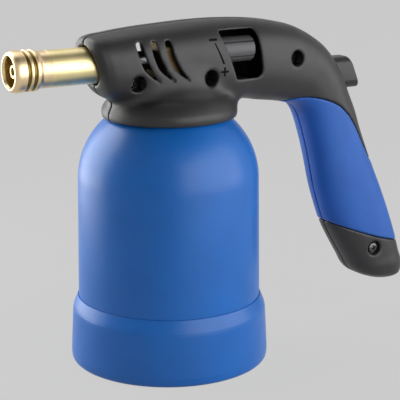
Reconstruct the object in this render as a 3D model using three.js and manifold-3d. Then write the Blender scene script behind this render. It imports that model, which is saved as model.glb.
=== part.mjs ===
// A hand-held soldering torch that burns gas from a pierceable cartridge.
// A blue cup in two pieces holds the cartridge, a black casing in two halves is clamped
// round the neck of the cup, and a brass burner leaves the front of the casing.
// Millimetres, +Z up. The origin is the middle of the flat underside of the cup.
// The burner points to -X, the handle is at +X, and the halves of the casing meet at Y = 0.
import * as THREE from 'three';
import { mergeVertices } from 'three/addons/utils/BufferGeometryUtils.js';
import Module from 'manifold-3d';

const wasm = await Module();
wasm.setup();

// Gaps and overruns
const seatGap = 0.3; // between faces that touch
const slideGap = 0.35; // round pieces that turn or slide
const overrun = 6; // how far a cutter passes beyond what it cuts

// Gas cartridge
const cartridgeRadius = 44.75;
const cartridgeHeight = 93.7;
const cartridgeWall = 0.5;
const cartridgeHeel = 3;
const cartridgeShoulder = 11;
const cartridgeFlatRadius = 14;
const pierceHoleRadius = 3.4;

// Lower bowl of the cup
const bowlFloor = 3;
const bowlHeight = 34.8;
const bowlWall = 2.75;
const bowlDraft = 1.2;
const bowlHeel = 4.2;
const bowlShoulder = 7.8;
const bowlLip = 0.5;

// Upper housing of the cup
const cupWall = 1.85;
const cupDraft = 0.8;
const cartridgeClearance = 0.6;
const housingLift = 3.3; // from the floor of the bowl to the open end of the housing
const shoulderHeight = 97; // where the straight side turns into the dome
const domeProfileRadius = 42;
const plateauRadius = 28.9;
const neckRadius = 20;
const neckWall = 3;
const neckRise = 7.3; // from the plateau to the deck of the casing
const neckFlangeRadius = 22;
const neckFlangeThickness = 2;

// Casing
const casingWall = 2.2;
const deckThickness = 2;
const noseReach = 50.2;
const rearReach = 153.5;
const handleDrop = 119.6;
const headAboveAxis = 19.1; // from the burner's axis to the crown of the casing
const headHalfWidth = 20;
const handleHalfWidth = 14.4;
const partingGap = 0.3;
const skirtRadius = 34.4;
const skirtOverlap = 1.6; // how far the skirt hangs below the plateau
const skirtNotch = 4.3; // how far the notch above the bead is drawn in
const shoulderRise = 15; // how far the sloping shoulder climbs above the deck
const shoulderTopRadius = 19.5;
const heelShift = 1.7; // the collar is fuller under the handle by this
const heelNotch = 2.6; // depth of its notch there
const mouthGap = 0.9;

// Grips let into the handle
const gripThickness = 1.7;

// Casing screws and their wells
const wellRadius = 4;
const wellWall = 0.95;
const wellFloorDepth = 8.4; // distance of the well's floor from the parting plane
const wellFloorThickness = 1.6;
const pillarRadius = 3.2;
const screwHeadRadius = 2.9;
const screwHeadHeight = 1.9;
const screwShankRadius = 1.4;
const screwReach = 9; // how far the screw passes the parting plane
const footWellDepth = 11.4;

// Vents and control window in the casing
const ventWidth = 3.3;
const ventPitch = 7.8;
const ventHeight = 18;
const ventSweep = 9.3;
const ventDepth = 8;
const windowTopMargin = 10.3;
const windowBottomMargin = 14.4;
const windowFrontMargin = 0.8;
const windowRearMargin = 1.1;
const windowLean = 9.2;
const windowCorner = 3.2;

// Piercing head in the neck, with its needle and seal
const injectorFlangeRadius = 23;
const injectorFlangeThickness = 3;
const injectorStemRadius = 11;
const injectorThreadRadius = 13;
const injectorPlugShort = 2.3; // how far the plug ends below the rim of the neck
const sealRadius = 8.3;
const sealBore = 4;
const sealHeight = 4;
const sealStandOut = 1.5;
const needleRadius = 3;
const needlePoint = 6;
const needleReach = 4; // how far the point passes into the cartridge
const needleLength = 19;
const nutRadius = 19.5;
const nutHeight = 2.2;
const threadStandOut = 0.4;

// Inlet pipe and valve block
const inletRadius = 4;
const inletBore = 1.5;
const inletSocketDepth = 4;
const blockStandoff = 4.8; // from the piercing head to the block
const blockBelowAxis = 8.7;
const blockAboveAxis = 8.9;
const blockFront = 9;
const blockRear = 8;
const blockRightWidth = 6.5;
const blockCorner = 2.5;
const blockSideWall = 3.4;
const outletRadius = 3.6;
const outletLength = 4;
const jetShankRadius = 1.5;
const jetShankLength = 3;
const jetFlangeRadius = 3.2;
const jetFlangeThickness = 1.2;
const jetNoseLength = 3.6;
const jetNoseRadius = 0.9;

// Valve, gland and control wheel
const wheelRise = 3.7; // of the valve's axis above the burner's
const wheelRadius = 6.6;
const wheelRecess = 2.5; // from the flank of the casing to the wheel's rim
const wheelWidth = 20.2;
const wheelStart = 22;
const wheelRibs = 5;
const wheelRestShare = 0.076; // of a rib's pitch that the wheel stands turned up at rest
const wheelGroove = 1.1;
const wheelGrooveDepth = 1.5;
const wheelBevel = 0.8;
const wheelReliefGap = 0.6;
const spindleRadius = 2;
const spindleBoreLength = 7.5;
const spindleStart = 4.4;
const needleStemRadius = 1.2;
const valveNeedleRadius = 1.7;
const valveNeedleFront = -3.6;
const valveNeedleTaper = 3.4;
const valveNeedleBody = 3.1;
const valveNeedleStem = 7;
const glandBossRadius = 5;
const glandBossLength = 4.2;
const glandPocketRadius = 3.9;
const glandPocketDepth = 2.8;
const ringTubeRadius = 0.65;
const glandNoseLength = 0.8;
const glandHexRadius = 4.4;
const glandHexLength = 3.6;
const wheelScrewHead = 2.8;
const wheelScrewHeadHeight = 1.4;
const wheelScrewShank = 0.9;
const wheelScrewLength = 6;
const wheelPocketRadius = 4;
const wheelPocketDepth = 3;

// Burner
const burnerRadius = 9.24;
const burnerWall = 1.1;
const burnerRearX = -37;
const burnerFrontX = -68.4;
const burnerEndWall = 1.2;
const collarLength = 4;
const collarWall = 1;
const mixerNeckRadius = 3.6;
const mixerChamberRadius = 5;
const mixerWall = 1;
const mixerNeckFront = -43;
const mixerShoulderX = -28;
const mixerShoulderLength = 2;
const airHoleRadius = 1.7;
const airHoleX = -21;
const tipFrontX = -87.8;
const tipRimRadius = 8.55;
const tipRadius = 10.3;
const tipRimLength = 3.4;
const tipBellyLength = 3.8;
const grooveDepth = 0.85;
const grooveWidth = 1.3;
const grooveLand = 1.1;
const grooveBevel = 0.35;
const tipChamfer = 2.2;
const tipMouthRadius = 7.6;
const tipBoreRadius = 6.7;
const tipMouthDepth = 8;
const tipSpigotLength = 6;
const nozzleDiscThickness = 3;
const nozzleRadius = 3.3;
const nozzleBore = 2.07;
const nozzleSetBack = 2.2;
const nozzleTail = 4;
const pilotHoles = 8;
const pilotHoleRadius = 0.6;

// Igniter: button, piezo unit, spring, lead and electrode
const buttonHalfWidth = 7.4;
const buttonHeight = 17.5;
const buttonCorner = 5;
const buttonProud = 8.5;
const buttonSlant = 0.4; // how much the face leans back for each unit of height
const buttonFlangeLip = 1.1;
const buttonFlangeThickness = 2;
const buttonFlangeSetBack = 1.8; // from the casing's inner face at the flange's top
const buttonTravel = 6.5;
const springSolid = 4.9; // room that the pressed spring keeps
const springTurns = 5;
const springWire = 0.4;
const springRadius = 3.7;
const plungerRadius = 2.5;
const plungerDepth = 14;
const piezoLength = 25;
const piezoHalfWidth = 5;
const piezoHeight = 11;
const piezoCorner = 0.9;
const piezoBoreDepth = 21.5;
const bulkheadThickness = 1.6;
const electrodeOffset = 6.5;
const electrodeRadius = 0.5;
const electrodeFrontX = -56;
const electrodeRearX = -30.6;
const insulatorRadius = 1.25;
const insulatorBore = 0.8;
const insulatorFrontX = -50;
const insulatorRearX = -31.6;
const leadRadius = 0.9;
const leadEndRun = 3; // straight run of the lead at each end

// How finely round forms are divided
const cupSegments = 36;
const cartridgeSegments = 28;
const smallSegments = 20;
const pinSegments = 12;
const hexSides = 6;
const wireSides = 5;
const turnSteps = 8; // for each turn of the spring
const sectionPoints = 20;
const arcSteps = 4;
const ventSteps = 4;
const cornerSteps = 2; // for each corner of a rounded outline
const leadSides = 3; // for each half of the lead's section
const leadSteps = 30;
const squareness = 2.5; // exponent of the casing's rounded-square sections

// Places that follow from the sizes above
const cartridgeBaseZ = bowlFloor + seatGap;
const cartridgeTopZ = cartridgeBaseZ + cartridgeHeight;
const cupTopRadius = cartridgeRadius + cartridgeClearance + cupWall;
const cupLowRadius = cupTopRadius + cupDraft;
const bowlBoreRadius = cupLowRadius + slideGap;
const domeCentreRadius = cupTopRadius - domeProfileRadius;
const plateauZ = shoulderHeight + legOf(domeProfileRadius, plateauRadius - domeCentreRadius);
const deckUndersideZ = plateauZ + neckRise;
const deckTopZ = deckUndersideZ + deckThickness;
const neckFlangeZ = deckTopZ + seatGap;
const neckTopZ = neckFlangeZ + neckFlangeThickness;
const neckBore = neckRadius - neckWall;
const nutBaseZ = neckTopZ + seatGap;
const threadTopZ = nutBaseZ + nutHeight + threadStandOut;
const blockBaseZ = threadTopZ + blockStandoff;
const burnerZ = blockBaseZ + blockBelowAxis;
const crownZ = burnerZ + headAboveAxis;
const headRise = crownZ - deckUndersideZ;
const valveZ = burnerZ + wheelRise;
const valveY = wheelRadius + wheelRecess - headHalfWidth;
const handleWall = casingWall + gripThickness + seatGap;
const sealBaseZ = cartridgeTopZ + seatGap;
const sealTopZ = sealBaseZ + sealHeight;
const needleTipZ = cartridgeTopZ - needleReach;
const needleTopZ = needleTipZ + needleLength;
const wheelEnd = wheelStart + wheelWidth;
const skirtBottomZ = plateauZ - skirtOverlap;

// Sections of the head from the mouth to the rear: X and Z of the top, X and Z of the
// bottom, and half width. X is a share of noseReach in front of the cup's axis and of
// rearReach behind it, Z a share of headRise above the deck and of handleDrop below it,
// and the width a share of headHalfWidth.
const headShares = [
  [-0.974, 0.79, -0.861, 0.256, 0.58],
  [-0.942, 0.855, -0.821, 0.176, 0.71],
  [-0.868, 0.896, -0.749, 0.1, 0.81],
  [-0.737, 0.917, -0.637, 0.045, 0.88],
  [-0.478, 0.951, -0.418, 0.005, 0.945],
  [-0.1, 0.981, -0.1, 0.0, 0.985],
  [0.091, 1.0, 0.078, -0.003, 1.0],
  [0.197, 0.998, 0.19, -0.048, 1.0],
  [0.305, 0.972, 0.261, -0.028, 0.99],
  [0.396, 0.921, 0.335, -0.042, 0.96],
  [0.481, 0.836, 0.4, -0.054, 0.915],
  [0.551, 0.702, 0.449, -0.066, 0.865],
  [0.611, 0.535, 0.485, -0.079, 0.825],
  [0.657, 0.324, 0.509, -0.104, 0.795],
];

// Sections of the handle from the head to the foot, with the back edge first. The width
// is a share of handleHalfWidth.
const handleShares = [
  [0.691, 0.115, 0.525, -0.136, 1.069],
  [0.717, -0.036, 0.537, -0.175, 1.042],
  [0.748, -0.121, 0.552, -0.236, 1.021],
  [0.773, -0.209, 0.567, -0.303, 1.007],
  [0.804, -0.305, 0.582, -0.383, 1.0],
  [0.84, -0.41, 0.599, -0.479, 1.0],
  [0.879, -0.517, 0.624, -0.58, 1.0],
  [0.915, -0.627, 0.653, -0.677, 1.007],
  [0.946, -0.736, 0.693, -0.769, 1.021],
  [0.97, -0.838, 0.734, -0.853, 1.042],
  [0.985, -0.918, 0.764, -0.912, 1.056],
  [0.976, -0.962, 0.787, -0.939, 0.958],
  [0.949, -0.986, 0.823, -0.967, 0.729],
];
const firstHollowRow = 2; // the nose is solid in front of it, but for the burner's bore
const firstGripRow = 9; // from here the walls have room for the grips
const firstBackGripRow = 17; // from here the grips reach the back edge
const lastHollowRow = 24;

// Outline of the grips seen from the side, in the same shares of X and Z
const gripShares = [
  [0.428, -0.062], [0.438, -0.049], [0.45, -0.044], [0.48, -0.038], [0.512, -0.0375],
  [0.538, -0.041], [0.573, -0.052], [0.613, -0.071], [0.648, -0.095], [0.691, -0.144],
  [0.726, -0.205], [0.762, -0.284], [0.801, -0.36],
  [0.853, -0.406], [1.042, -0.418], [1.042, -0.794], [0.951, -0.793], [0.909, -0.778],
  [0.83, -0.748], [0.728, -0.7], [0.645, -0.658], [0.521, -0.594], [0.391, -0.326],
];

// Screws of the casing in the same shares: nose, middle, rear and foot
const noseScrewShare = -0.516;
const midScrewX = 14.5;
const rearScrewShares = [0.4456, 0.443];
const footScrewShares = [0.818, -0.8];
const ventStartShare = -0.488;
const ventTopShare = 0.77;
const buttonShare = 0.127; // height of the button's middle
const bulkheadShares = [0.372, 0.507];
const gripMiddleShares = [0.65, -0.4];

// Collar under the head: bead as shares of the notch's depth and the bead's height, then
// shoulder as shares of the way in to its top and of its height
const beadShares = [[0.12, 0], [0, 0.25], [0.05, 0.5], [0.35, 0.75]];
const shoulderShares = [[0.25, 0.2], [0.48, 0.4], [0.68, 0.6], [0.86, 0.8]];

// Vents and window: bend of a vent, roundness of its ends, lean of the window's rear edge
const ventBendShare = 0.58;
const ventCapShare = 0.8;
const windowRearShare = 0.3;

// Route of the lead between its ends: X as a share of the piezo unit's or, where negative,
// the electrode's distance from the cup's axis, Y of the room beside the valve block, and
// Z of the step from the piezo unit's axis to the burner's
const leadShares = [
  [0.72, 0.45, 0.2], [0.45, 0.95, 0.85], [0.1, 1, 1], [-0.4, 0.97, 1], [-0.72, 0.75, 1],
];

// Materials
function material(color, roughness, metalness) {
  return new THREE.MeshStandardMaterial({ color, roughness, metalness });
}
const bluePlastic = material(0x1f5aa8, 0.5, 0);
const blackPlastic = material(0x35353a, 0.6, 0);
const blackGloss = material(0x2a2a2e, 0.4, 0);
const brass = material(0xd9bd7a, 0.25, 1);
const steel = material(0x9a9ca0, 0.35, 1);
const paintedTin = material(0xc9ccd0, 0.4, 0.6);
const rubber = material(0x1b1b1c, 0.8, 0);
const ceramic = material(0xf0ece2, 0.5, 0);
const darkInsulation = material(0x222224, 0.5, 0);

// Other side of a right triangle
function legOf(hypotenuse, leg) {
  return Math.sqrt(hypotenuse * hypotenuse - leg * leg);
}

function placeX(share) {
  return share * (share < 0 ? noseReach : rearReach);
}

function placeZ(share) {
  return deckUndersideZ + share * (share < 0 ? handleDrop : headRise);
}

// Signed volume of an indexed mesh, positive when its faces point out
function signedVolume(vertices, triangles) {
  const corners = [new THREE.Vector3(), new THREE.Vector3(), new THREE.Vector3()];
  let total = 0;
  for (let t = 0; t < triangles.length; t += 3) {
    corners.forEach((corner, k) => corner.fromArray(vertices, 3 * triangles[t + k]));
    total += corners[0].dot(corners[1].cross(corners[2]));
  }
  return total;
}

// Closed three.js geometry to a manifold solid
function solid(geometry) {
  const bare = geometry.clone();
  bare.deleteAttribute('normal');
  bare.deleteAttribute('uv');
  const merged = mergeVertices(bare);
  const source = merged.index.array;
  let triangles = [];
  for (let t = 0; t < source.length; t += 3) {
    const [a, b, c] = [source[t], source[t + 1], source[t + 2]];
    if (a !== b && b !== c && c !== a) triangles.push([a, b, c]);
  }
  const vertices = merged.attributes.position.array;
  if (signedVolume(vertices, triangles.flat()) < 0) {
    triangles = triangles.map(([a, b, c]) => [a, c, b]);
  }
  return new wasm.Manifold(new wasm.Mesh({
    numProp: 3,
    vertProperties: new Float32Array(vertices),
    triVerts: new Uint32Array(triangles.flat()),
  }));
}

// Manifold solid to a named three.js mesh
function meshOf(name, form, finish) {
  const { vertProperties, triVerts } = form.getMesh();
  const geometry = new THREE.BufferGeometry();
  geometry.setAttribute('position', new THREE.BufferAttribute(new Float32Array(vertProperties), 3));
  geometry.setIndex(new THREE.BufferAttribute(new Uint32Array(triVerts), 1));
  geometry.computeVertexNormals();
  const mesh = new THREE.Mesh(geometry, finish);
  mesh.name = name;
  return mesh;
}

function union(forms) {
  return forms.reduce((whole, form) => whole.add(form));
}

function cutAll(form, cutters) {
  return cutters.reduce((rest, cutter) => rest.subtract(cutter), form);
}

// Solid turned about an upright line through x, from a profile of [radius, z]
function turnedZ(profile, segments, x = 0) {
  const points = profile.map(([radius, z]) => new THREE.Vector2(radius, z));
  const geometry = new THREE.LatheGeometry(points, segments).rotateX(Math.PI / 2);
  return solid(geometry.translate(x, 0, 0));
}

// Solid turned about a line along X through (y, z), from a profile of [radius, x]
function turnedX(profile, segments, y, z) {
  const points = profile.map(([radius, x]) => new THREE.Vector2(radius, x));
  const geometry = new THREE.LatheGeometry(points, segments).rotateZ(-Math.PI / 2);
  return solid(geometry.translate(0, y, z));
}

// Ring profiles close on themselves
function closed(profile) {
  return [...profile, profile[0]];
}

function rod(radius, low, high) {
  return [[0, low], [radius, low], [radius, high], [0, high]];
}

function tube(bore, radius, low, high) {
  return closed([[bore, low], [radius, low], [radius, high], [bore, high]]);
}

// Quarter of an ellipse in a profile, as [radius, height] from the equator to the crown
function quarter(centreRadius, centreZ, wide, tall, steps) {
  return Array.from({ length: steps + 1 }, (_, k) => {
    const turn = (k / steps) * (Math.PI / 2);
    return [centreRadius + wide * Math.cos(turn), centreZ + tall * Math.sin(turn)];
  });
}

// Prism along Y from a side-view shape in (x, z)
function prismY(shape, low, high) {
  const geometry = new THREE.ExtrudeGeometry(shape, {
    depth: high - low, bevelEnabled: false, curveSegments: cornerSteps,
  });
  return solid(geometry.rotateX(Math.PI / 2).translate(0, high, 0));
}

// Prism along X from an end-view shape in (y, z)
function prismX(shape, low, high, options) {
  const geometry = new THREE.ExtrudeGeometry(shape, {
    depth: high - low, bevelEnabled: false, curveSegments: cornerSteps, ...options,
  });
  const basis = new THREE.Matrix4().makeBasis(
    new THREE.Vector3(0, 1, 0), new THREE.Vector3(0, 0, 1), new THREE.Vector3(1, 0, 0),
  );
  return solid(geometry.applyMatrix4(basis).translate(low, 0, 0));
}

function box(lowX, highX, lowY, highY, lowZ, highZ) {
  const geometry = new THREE.BoxGeometry(highX - lowX, highY - lowY, highZ - lowZ);
  return solid(geometry.translate((lowX + highX) / 2, (lowY + highY) / 2, (lowZ + highZ) / 2));
}

function pinY(x, z, radius, low, high) {
  const geometry = new THREE.CylinderGeometry(radius, radius, high - low, pinSegments);
  return solid(geometry.translate(x, 0, 0).translate(0, (low + high) / 2, z));
}

function roundedRectangle(lowU, highU, lowV, highV, corner) {
  const shape = new THREE.Shape();
  shape.moveTo(lowU + corner, lowV);
  shape.absarc(highU - corner, lowV + corner, corner, -Math.PI / 2, 0);
  shape.absarc(highU - corner, highV - corner, corner, 0, Math.PI / 2);
  shape.absarc(lowU + corner, highV - corner, corner, Math.PI / 2, Math.PI);
  shape.absarc(lowU + corner, lowV + corner, corner, Math.PI, 1.5 * Math.PI);
  return shape;
}

// Stations of the casing: top or back edge, bottom or front edge, and half width
const stations = [
  ...headShares.map((row) => [row, headHalfWidth]),
  ...handleShares.map((row) => [row, handleHalfWidth]),
].map(([[outerX, outerZ, innerX, innerZ, width], halfWidth]) => ({
  outer: new THREE.Vector2(placeX(outerX), placeZ(outerZ)),
  inner: new THREE.Vector2(placeX(innerX), placeZ(innerZ)),
  halfWidth: width * halfWidth,
}));

// Draws a station in by its own distances at the outer edge, inner edge and sides
function drawnIn(station, outerInset, innerInset, sideInset) {
  const across = station.outer.clone().sub(station.inner).normalize();
  return {
    outer: station.outer.clone().addScaledVector(across, -outerInset),
    inner: station.inner.clone().addScaledVector(across, innerInset),
    halfWidth: station.halfWidth - sideInset,
  };
}

// Lofted solid through rounded-square sections, one for each station
function lofted(list) {
  const positions = [];
  const index = [];
  const power = (value) => Math.sign(value) * Math.abs(value) ** (2 / squareness);
  list.forEach(({ outer, inner, halfWidth }) => {
    const centre = outer.clone().add(inner).multiplyScalar(0.5);
    const half = outer.clone().sub(inner).multiplyScalar(0.5);
    for (let k = 0; k < sectionPoints; k += 1) {
      const turn = (2 * Math.PI * k) / sectionPoints;
      const along = k % (sectionPoints / 2) === sectionPoints / 4 ? 0 : power(Math.cos(turn));
      const side = k % (sectionPoints / 2) === 0 ? 0 : power(Math.sin(turn));
      positions.push(centre.x + half.x * along, halfWidth * side, centre.y + half.y * along);
    }
  });
  for (let row = 0; row + 1 < list.length; row += 1) {
    for (let k = 0; k < sectionPoints; k += 1) {
      const a = row * sectionPoints + k;
      const b = row * sectionPoints + ((k + 1) % sectionPoints);
      index.push(a, b, a + sectionPoints, b, b + sectionPoints, a + sectionPoints);
    }
  }
  const last = (list.length - 1) * sectionPoints;
  for (let k = 1; k + 1 < sectionPoints; k += 1) {
    index.push(0, k + 1, k, last, last + k, last + k + 1);
  }
  const geometry = new THREE.BufferGeometry();
  geometry.setAttribute('position', new THREE.Float32BufferAttribute(positions, 3));
  geometry.setIndex(index);
  return solid(geometry);
}

// X of the casing's back edge at a height, drawn in by an inset
function backX(z, inset) {
  const edge = stations.map((station) => drawnIn(station, inset, 0, 0).outer);
  const crown = edge.findIndex((point, k) => point.x > 0 && edge[k + 1].y < z);
  const [above, below] = [edge[crown], edge[crown + 1]];
  return above.x + (below.x - above.x) * ((above.y - z) / (above.y - below.y));
}

// Lathe of the collar that the head sits on: bead, notch and sloping shoulder
function collarProfile(inset) {
  const bead = skirtRadius - inset;
  const notch = bead - skirtNotch;
  const beadHeight = deckUndersideZ - skirtBottomZ;
  const top = shoulderTopRadius - inset;
  return {
    bead: [
      ...beadShares.map(([inward, up]) => [
        bead - inward * skirtNotch, skirtBottomZ + up * beadHeight,
      ]),
      [notch, deckUndersideZ + deckThickness / 2],
    ],
    shoulder: [
      ...shoulderShares.map(([inward, up]) => [
        notch - inward * (notch - top), deckUndersideZ + up * shoulderRise,
      ]),
      [top, deckUndersideZ + shoulderRise],
      [0, deckUndersideZ + shoulderRise],
    ],
  };
}

// Fuller rear of the collar: the bead again with a shallower notch, moved to the rear
function collarHeel() {
  const { bead } = collarProfile(0);
  const notch = skirtRadius - heelNotch;
  const profile = bead.map(([radius, z]) => [Math.max(radius, notch), z]);
  return turnedZ([
    [0, skirtBottomZ], ...profile, [notch, deckTopZ], [0, deckTopZ],
  ], cupSegments, heelShift);
}

// Whole outer form of the casing, solid
function casingOuter() {
  const { bead, shoulder } = collarProfile(0);
  const collar = turnedZ([[0, skirtBottomZ], ...bead, ...shoulder], cupSegments);
  return union([lofted(stations), collar, collarHeel()]);
}

// Hollow of the casing: the loft drawn in, the room above the deck, the room below it,
// and the bore for the burner
function casingHollow() {
  const inset = stations.map((station, row) => drawnIn(
    station,
    row < firstBackGripRow ? casingWall : handleWall,
    row < firstGripRow ? casingWall : handleWall,
    row < firstGripRow ? casingWall : handleWall,
  ));
  const room = lofted(inset.slice(firstHollowRow, lastHollowRow + 1));
  const deckKeeper = turnedZ(rod(skirtRadius, skirtBottomZ - overrun, deckTopZ), cupSegments);
  const { bead, shoulder } = collarProfile(casingWall);
  const above = turnedZ([[0, deckTopZ], [shoulder[0][0], deckTopZ], ...shoulder], cupSegments);
  const below = turnedZ([
    [0, skirtBottomZ - overrun],
    [bead[0][0], skirtBottomZ - overrun],
    ...bead.slice(0, -1),
    [bead[bead.length - 1][0], deckUndersideZ],
    [0, deckUndersideZ],
  ], cupSegments);
  const mouth = turnedX(
    rod(burnerRadius + mouthGap, -noseReach - overrun, placeX(headShares[3][0])),
    smallSegments, 0, burnerZ,
  );
  const neckHole = turnedZ(
    rod(neckRadius + seatGap, deckUndersideZ - overrun, deckTopZ + seatGap), cupSegments,
  );
  return union([room.subtract(deckKeeper), above, below, mouth, neckHole]);
}

// Curved slots in both flanks, swept back towards the bottom
function ventShape(startX) {
  const topZ = placeZ(ventTopShare);
  const path = new THREE.QuadraticBezierCurve(
    new THREE.Vector2(startX, topZ),
    new THREE.Vector2(startX, topZ - ventBendShare * ventHeight),
    new THREE.Vector2(startX + ventSweep, topZ - ventHeight),
  );
  const half = ventWidth / 2;
  const sides = [[], []];
  for (let k = 0; k <= ventSteps; k += 1) {
    const point = path.getPoint(k / ventSteps);
    const along = path.getTangent(k / ventSteps);
    const normal = new THREE.Vector2(-along.y, along.x);
    sides[0].push(point.clone().addScaledVector(normal, half));
    sides[1].push(point.clone().addScaledVector(normal, -half));
  }
  const cap = (t, direction) => (
    path.getPoint(t).addScaledVector(path.getTangent(t), direction * ventCapShare * half)
  );
  return new THREE.Shape([...sides[0], cap(1, 1), ...sides[1].reverse(), cap(0, -1)]);
}

function ventCutters() {
  const flank = headHalfWidth + overrun;
  const starts = [0, 1, 2].map((k) => placeX(ventStartShare) + k * ventPitch);
  return starts.flatMap((startX) => [
    prismY(ventShape(startX), -flank, ventDepth - headHalfWidth),
    prismY(ventShape(startX), headHalfWidth - ventDepth, flank),
  ]);
}

// Window in the left half that shows the control wheel, with a leaning front edge
function windowCutter() {
  const top = valveZ + windowTopMargin;
  const bottom = valveZ - windowBottomMargin;
  const front = wheelStart - windowFrontMargin;
  const rear = wheelEnd + windowRearMargin;
  const shape = new THREE.Shape();
  const foot = rear + windowRearShare * windowLean;
  shape.moveTo(front + windowLean, bottom);
  shape.lineTo(foot - windowCorner, bottom);
  shape.quadraticCurveTo(foot, bottom, foot, bottom + windowCorner);
  shape.lineTo(rear, top - windowCorner);
  shape.quadraticCurveTo(rear, top, rear - windowCorner, top);
  shape.lineTo(front, top);
  const relief = turnedX(
    rod(wheelRadius + wheelReliefGap, wheelStart - wheelReliefGap, wheelEnd + wheelReliefGap),
    smallSegments, valveY, valveZ,
  );
  return union([
    prismY(shape, -headHalfWidth - overrun, ventDepth - headHalfWidth), relief,
  ]);
}

// Screws: place in side view and depth of the well's floor
const screwPlaces = [
  [placeX(noseScrewShare), screwBesideMixerZ(), wellFloorDepth],
  [midScrewX, screwBesideMixerZ(), wellFloorDepth],
  [placeX(rearScrewShares[0]), placeZ(rearScrewShares[1]), wellFloorDepth],
  [placeX(footScrewShares[0]), placeZ(footScrewShares[1]), footWellDepth],
];

function screwBesideMixerZ() {
  return burnerZ - mixerChamberRadius - pillarRadius - 2 * seatGap;
}

function leftBosses() {
  return union(screwPlaces.map(([x, z, floor]) => union([
    pinY(x, z, wellRadius + wellWall, -headHalfWidth, -floor + wellFloorThickness),
    pinY(x, z, pillarRadius, -floor, 0),
  ])));
}

function rightBosses() {
  return union(screwPlaces.map(([x, z]) => pinY(x, z, pillarRadius, 0, headHalfWidth)));
}

function wellCutters() {
  return screwPlaces.map(([x, z, floor]) => union([
    pinY(x, z, wellRadius, -headHalfWidth - overrun, -floor),
    pinY(x, z, screwShankRadius + seatGap, -floor - seatGap, seatGap),
  ]));
}

function pilotCutters() {
  return screwPlaces.map(([x, z]) => (
    pinY(x, z, screwShankRadius + seatGap, -seatGap, screwReach + 2 * seatGap)
  ));
}

// Two ribs across the rear of the head that hold the piezo unit
const buttonZ = placeZ(buttonShare);

function bulkheads() {
  const lowest = buttonZ - piezoHeight;
  return union(bulkheadShares.map((share) => box(
    placeX(share), placeX(share) + bulkheadThickness, -headHalfWidth, headHalfWidth, lowest, crownZ,
  )));
}

function piezoPocket() {
  const half = piezoHeight / 2 + seatGap;
  const side = piezoHalfWidth + seatGap;
  return box(0, rearReach, -side, side, buttonZ - half, buttonZ + half);
}

function buttonOpening() {
  const half = buttonHeight / 2 + slideGap;
  const side = buttonHalfWidth + slideGap;
  const shape = roundedRectangle(-side, side, buttonZ - half, buttonZ + half, buttonCorner);
  return prismX(shape, backX(buttonZ + half, handleWall) - overrun, rearReach);
}

// The two grips are skins of the handle, and the casing is let in to take them
function gripPrism(grow) {
  const corners = gripShares.map(([x, z]) => new THREE.Vector2(placeX(x), placeZ(z)));
  const middle = new THREE.Vector2(placeX(gripMiddleShares[0]), placeZ(gripMiddleShares[1]));
  const grown = corners.map((corner) => {
    const outward = corner.clone().sub(middle).normalize();
    return corner.clone().addScaledVector(outward, grow);
  });
  return prismY(new THREE.Shape(grown), -headHalfWidth, headHalfWidth);
}

function gripSkin(depth, proud, grow) {
  const [core, skin] = [depth, -proud].map((inset) => (
    lofted(stations.map((station) => drawnIn(station, inset, inset, inset)))
  ));
  return skin.subtract(core).intersect(gripPrism(grow));
}

function gripHalf(side) {
  const near = partingGap / 2;
  const far = headHalfWidth;
  const half = side < 0
    ? box(0, rearReach + overrun, -far, -near, 0, crownZ)
    : box(0, rearReach + overrun, near, far, 0, crownZ);
  return gripSkin(gripThickness, 0, -seatGap).intersect(half);
}

function casingHalf(side) {
  const outer = casingOuter();
  const shell = cutAll(outer, [casingHollow()]);
  const ribs = bulkheads().subtract(piezoPocket());
  const bosses = side < 0 ? leftBosses() : rightBosses();
  const inner = union([ribs, bosses]).intersect(outer);
  const near = partingGap / 2;
  const far = skirtRadius + overrun;
  const half = side < 0
    ? box(-noseReach - overrun, rearReach + overrun, -far, -near, 0, crownZ + overrun)
    : box(-noseReach - overrun, rearReach + overrun, near, far, 0, crownZ + overrun);
  const cutters = [
    gripSkin(gripThickness + seatGap, overrun / 4, 0),
    buttonOpening(),
    ...ventCutters(),
    ...(side < 0 ? [...wellCutters(), windowCutter()] : pilotCutters()),
  ];
  return cutAll(union([shell, inner]).intersect(half), cutters);
}

// Casing screws with a pan head in the well
function casingScrew([x, z, floor]) {
  const headY = -floor - seatGap;
  return union([
    pinY(x, z, screwHeadRadius, headY - screwHeadHeight, headY),
    pinY(x, z, screwShankRadius, headY - seatGap, screwReach),
  ]);
}

// Lower bowl, open at the top, with a rounded heel and shoulder
function bowl() {
  const topRadius = bowlBoreRadius + bowlWall;
  const lowRadius = topRadius + bowlDraft;
  const heel = quarter(lowRadius - bowlHeel, bowlHeel, bowlHeel, bowlHeel, arcSteps)
    .map(([radius, z]) => [radius, 2 * bowlHeel - z]).reverse();
  const lipRadius = bowlBoreRadius + bowlLip;
  const shoulder = quarter(
    lipRadius, bowlHeight - bowlShoulder, topRadius - lipRadius, bowlShoulder, arcSteps,
  );
  return turnedZ([
    [0, 0], ...heel, ...shoulder,
    [bowlBoreRadius, bowlHeight], [bowlBoreRadius, bowlFloor], [0, bowlFloor],
  ], cupSegments);
}

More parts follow.
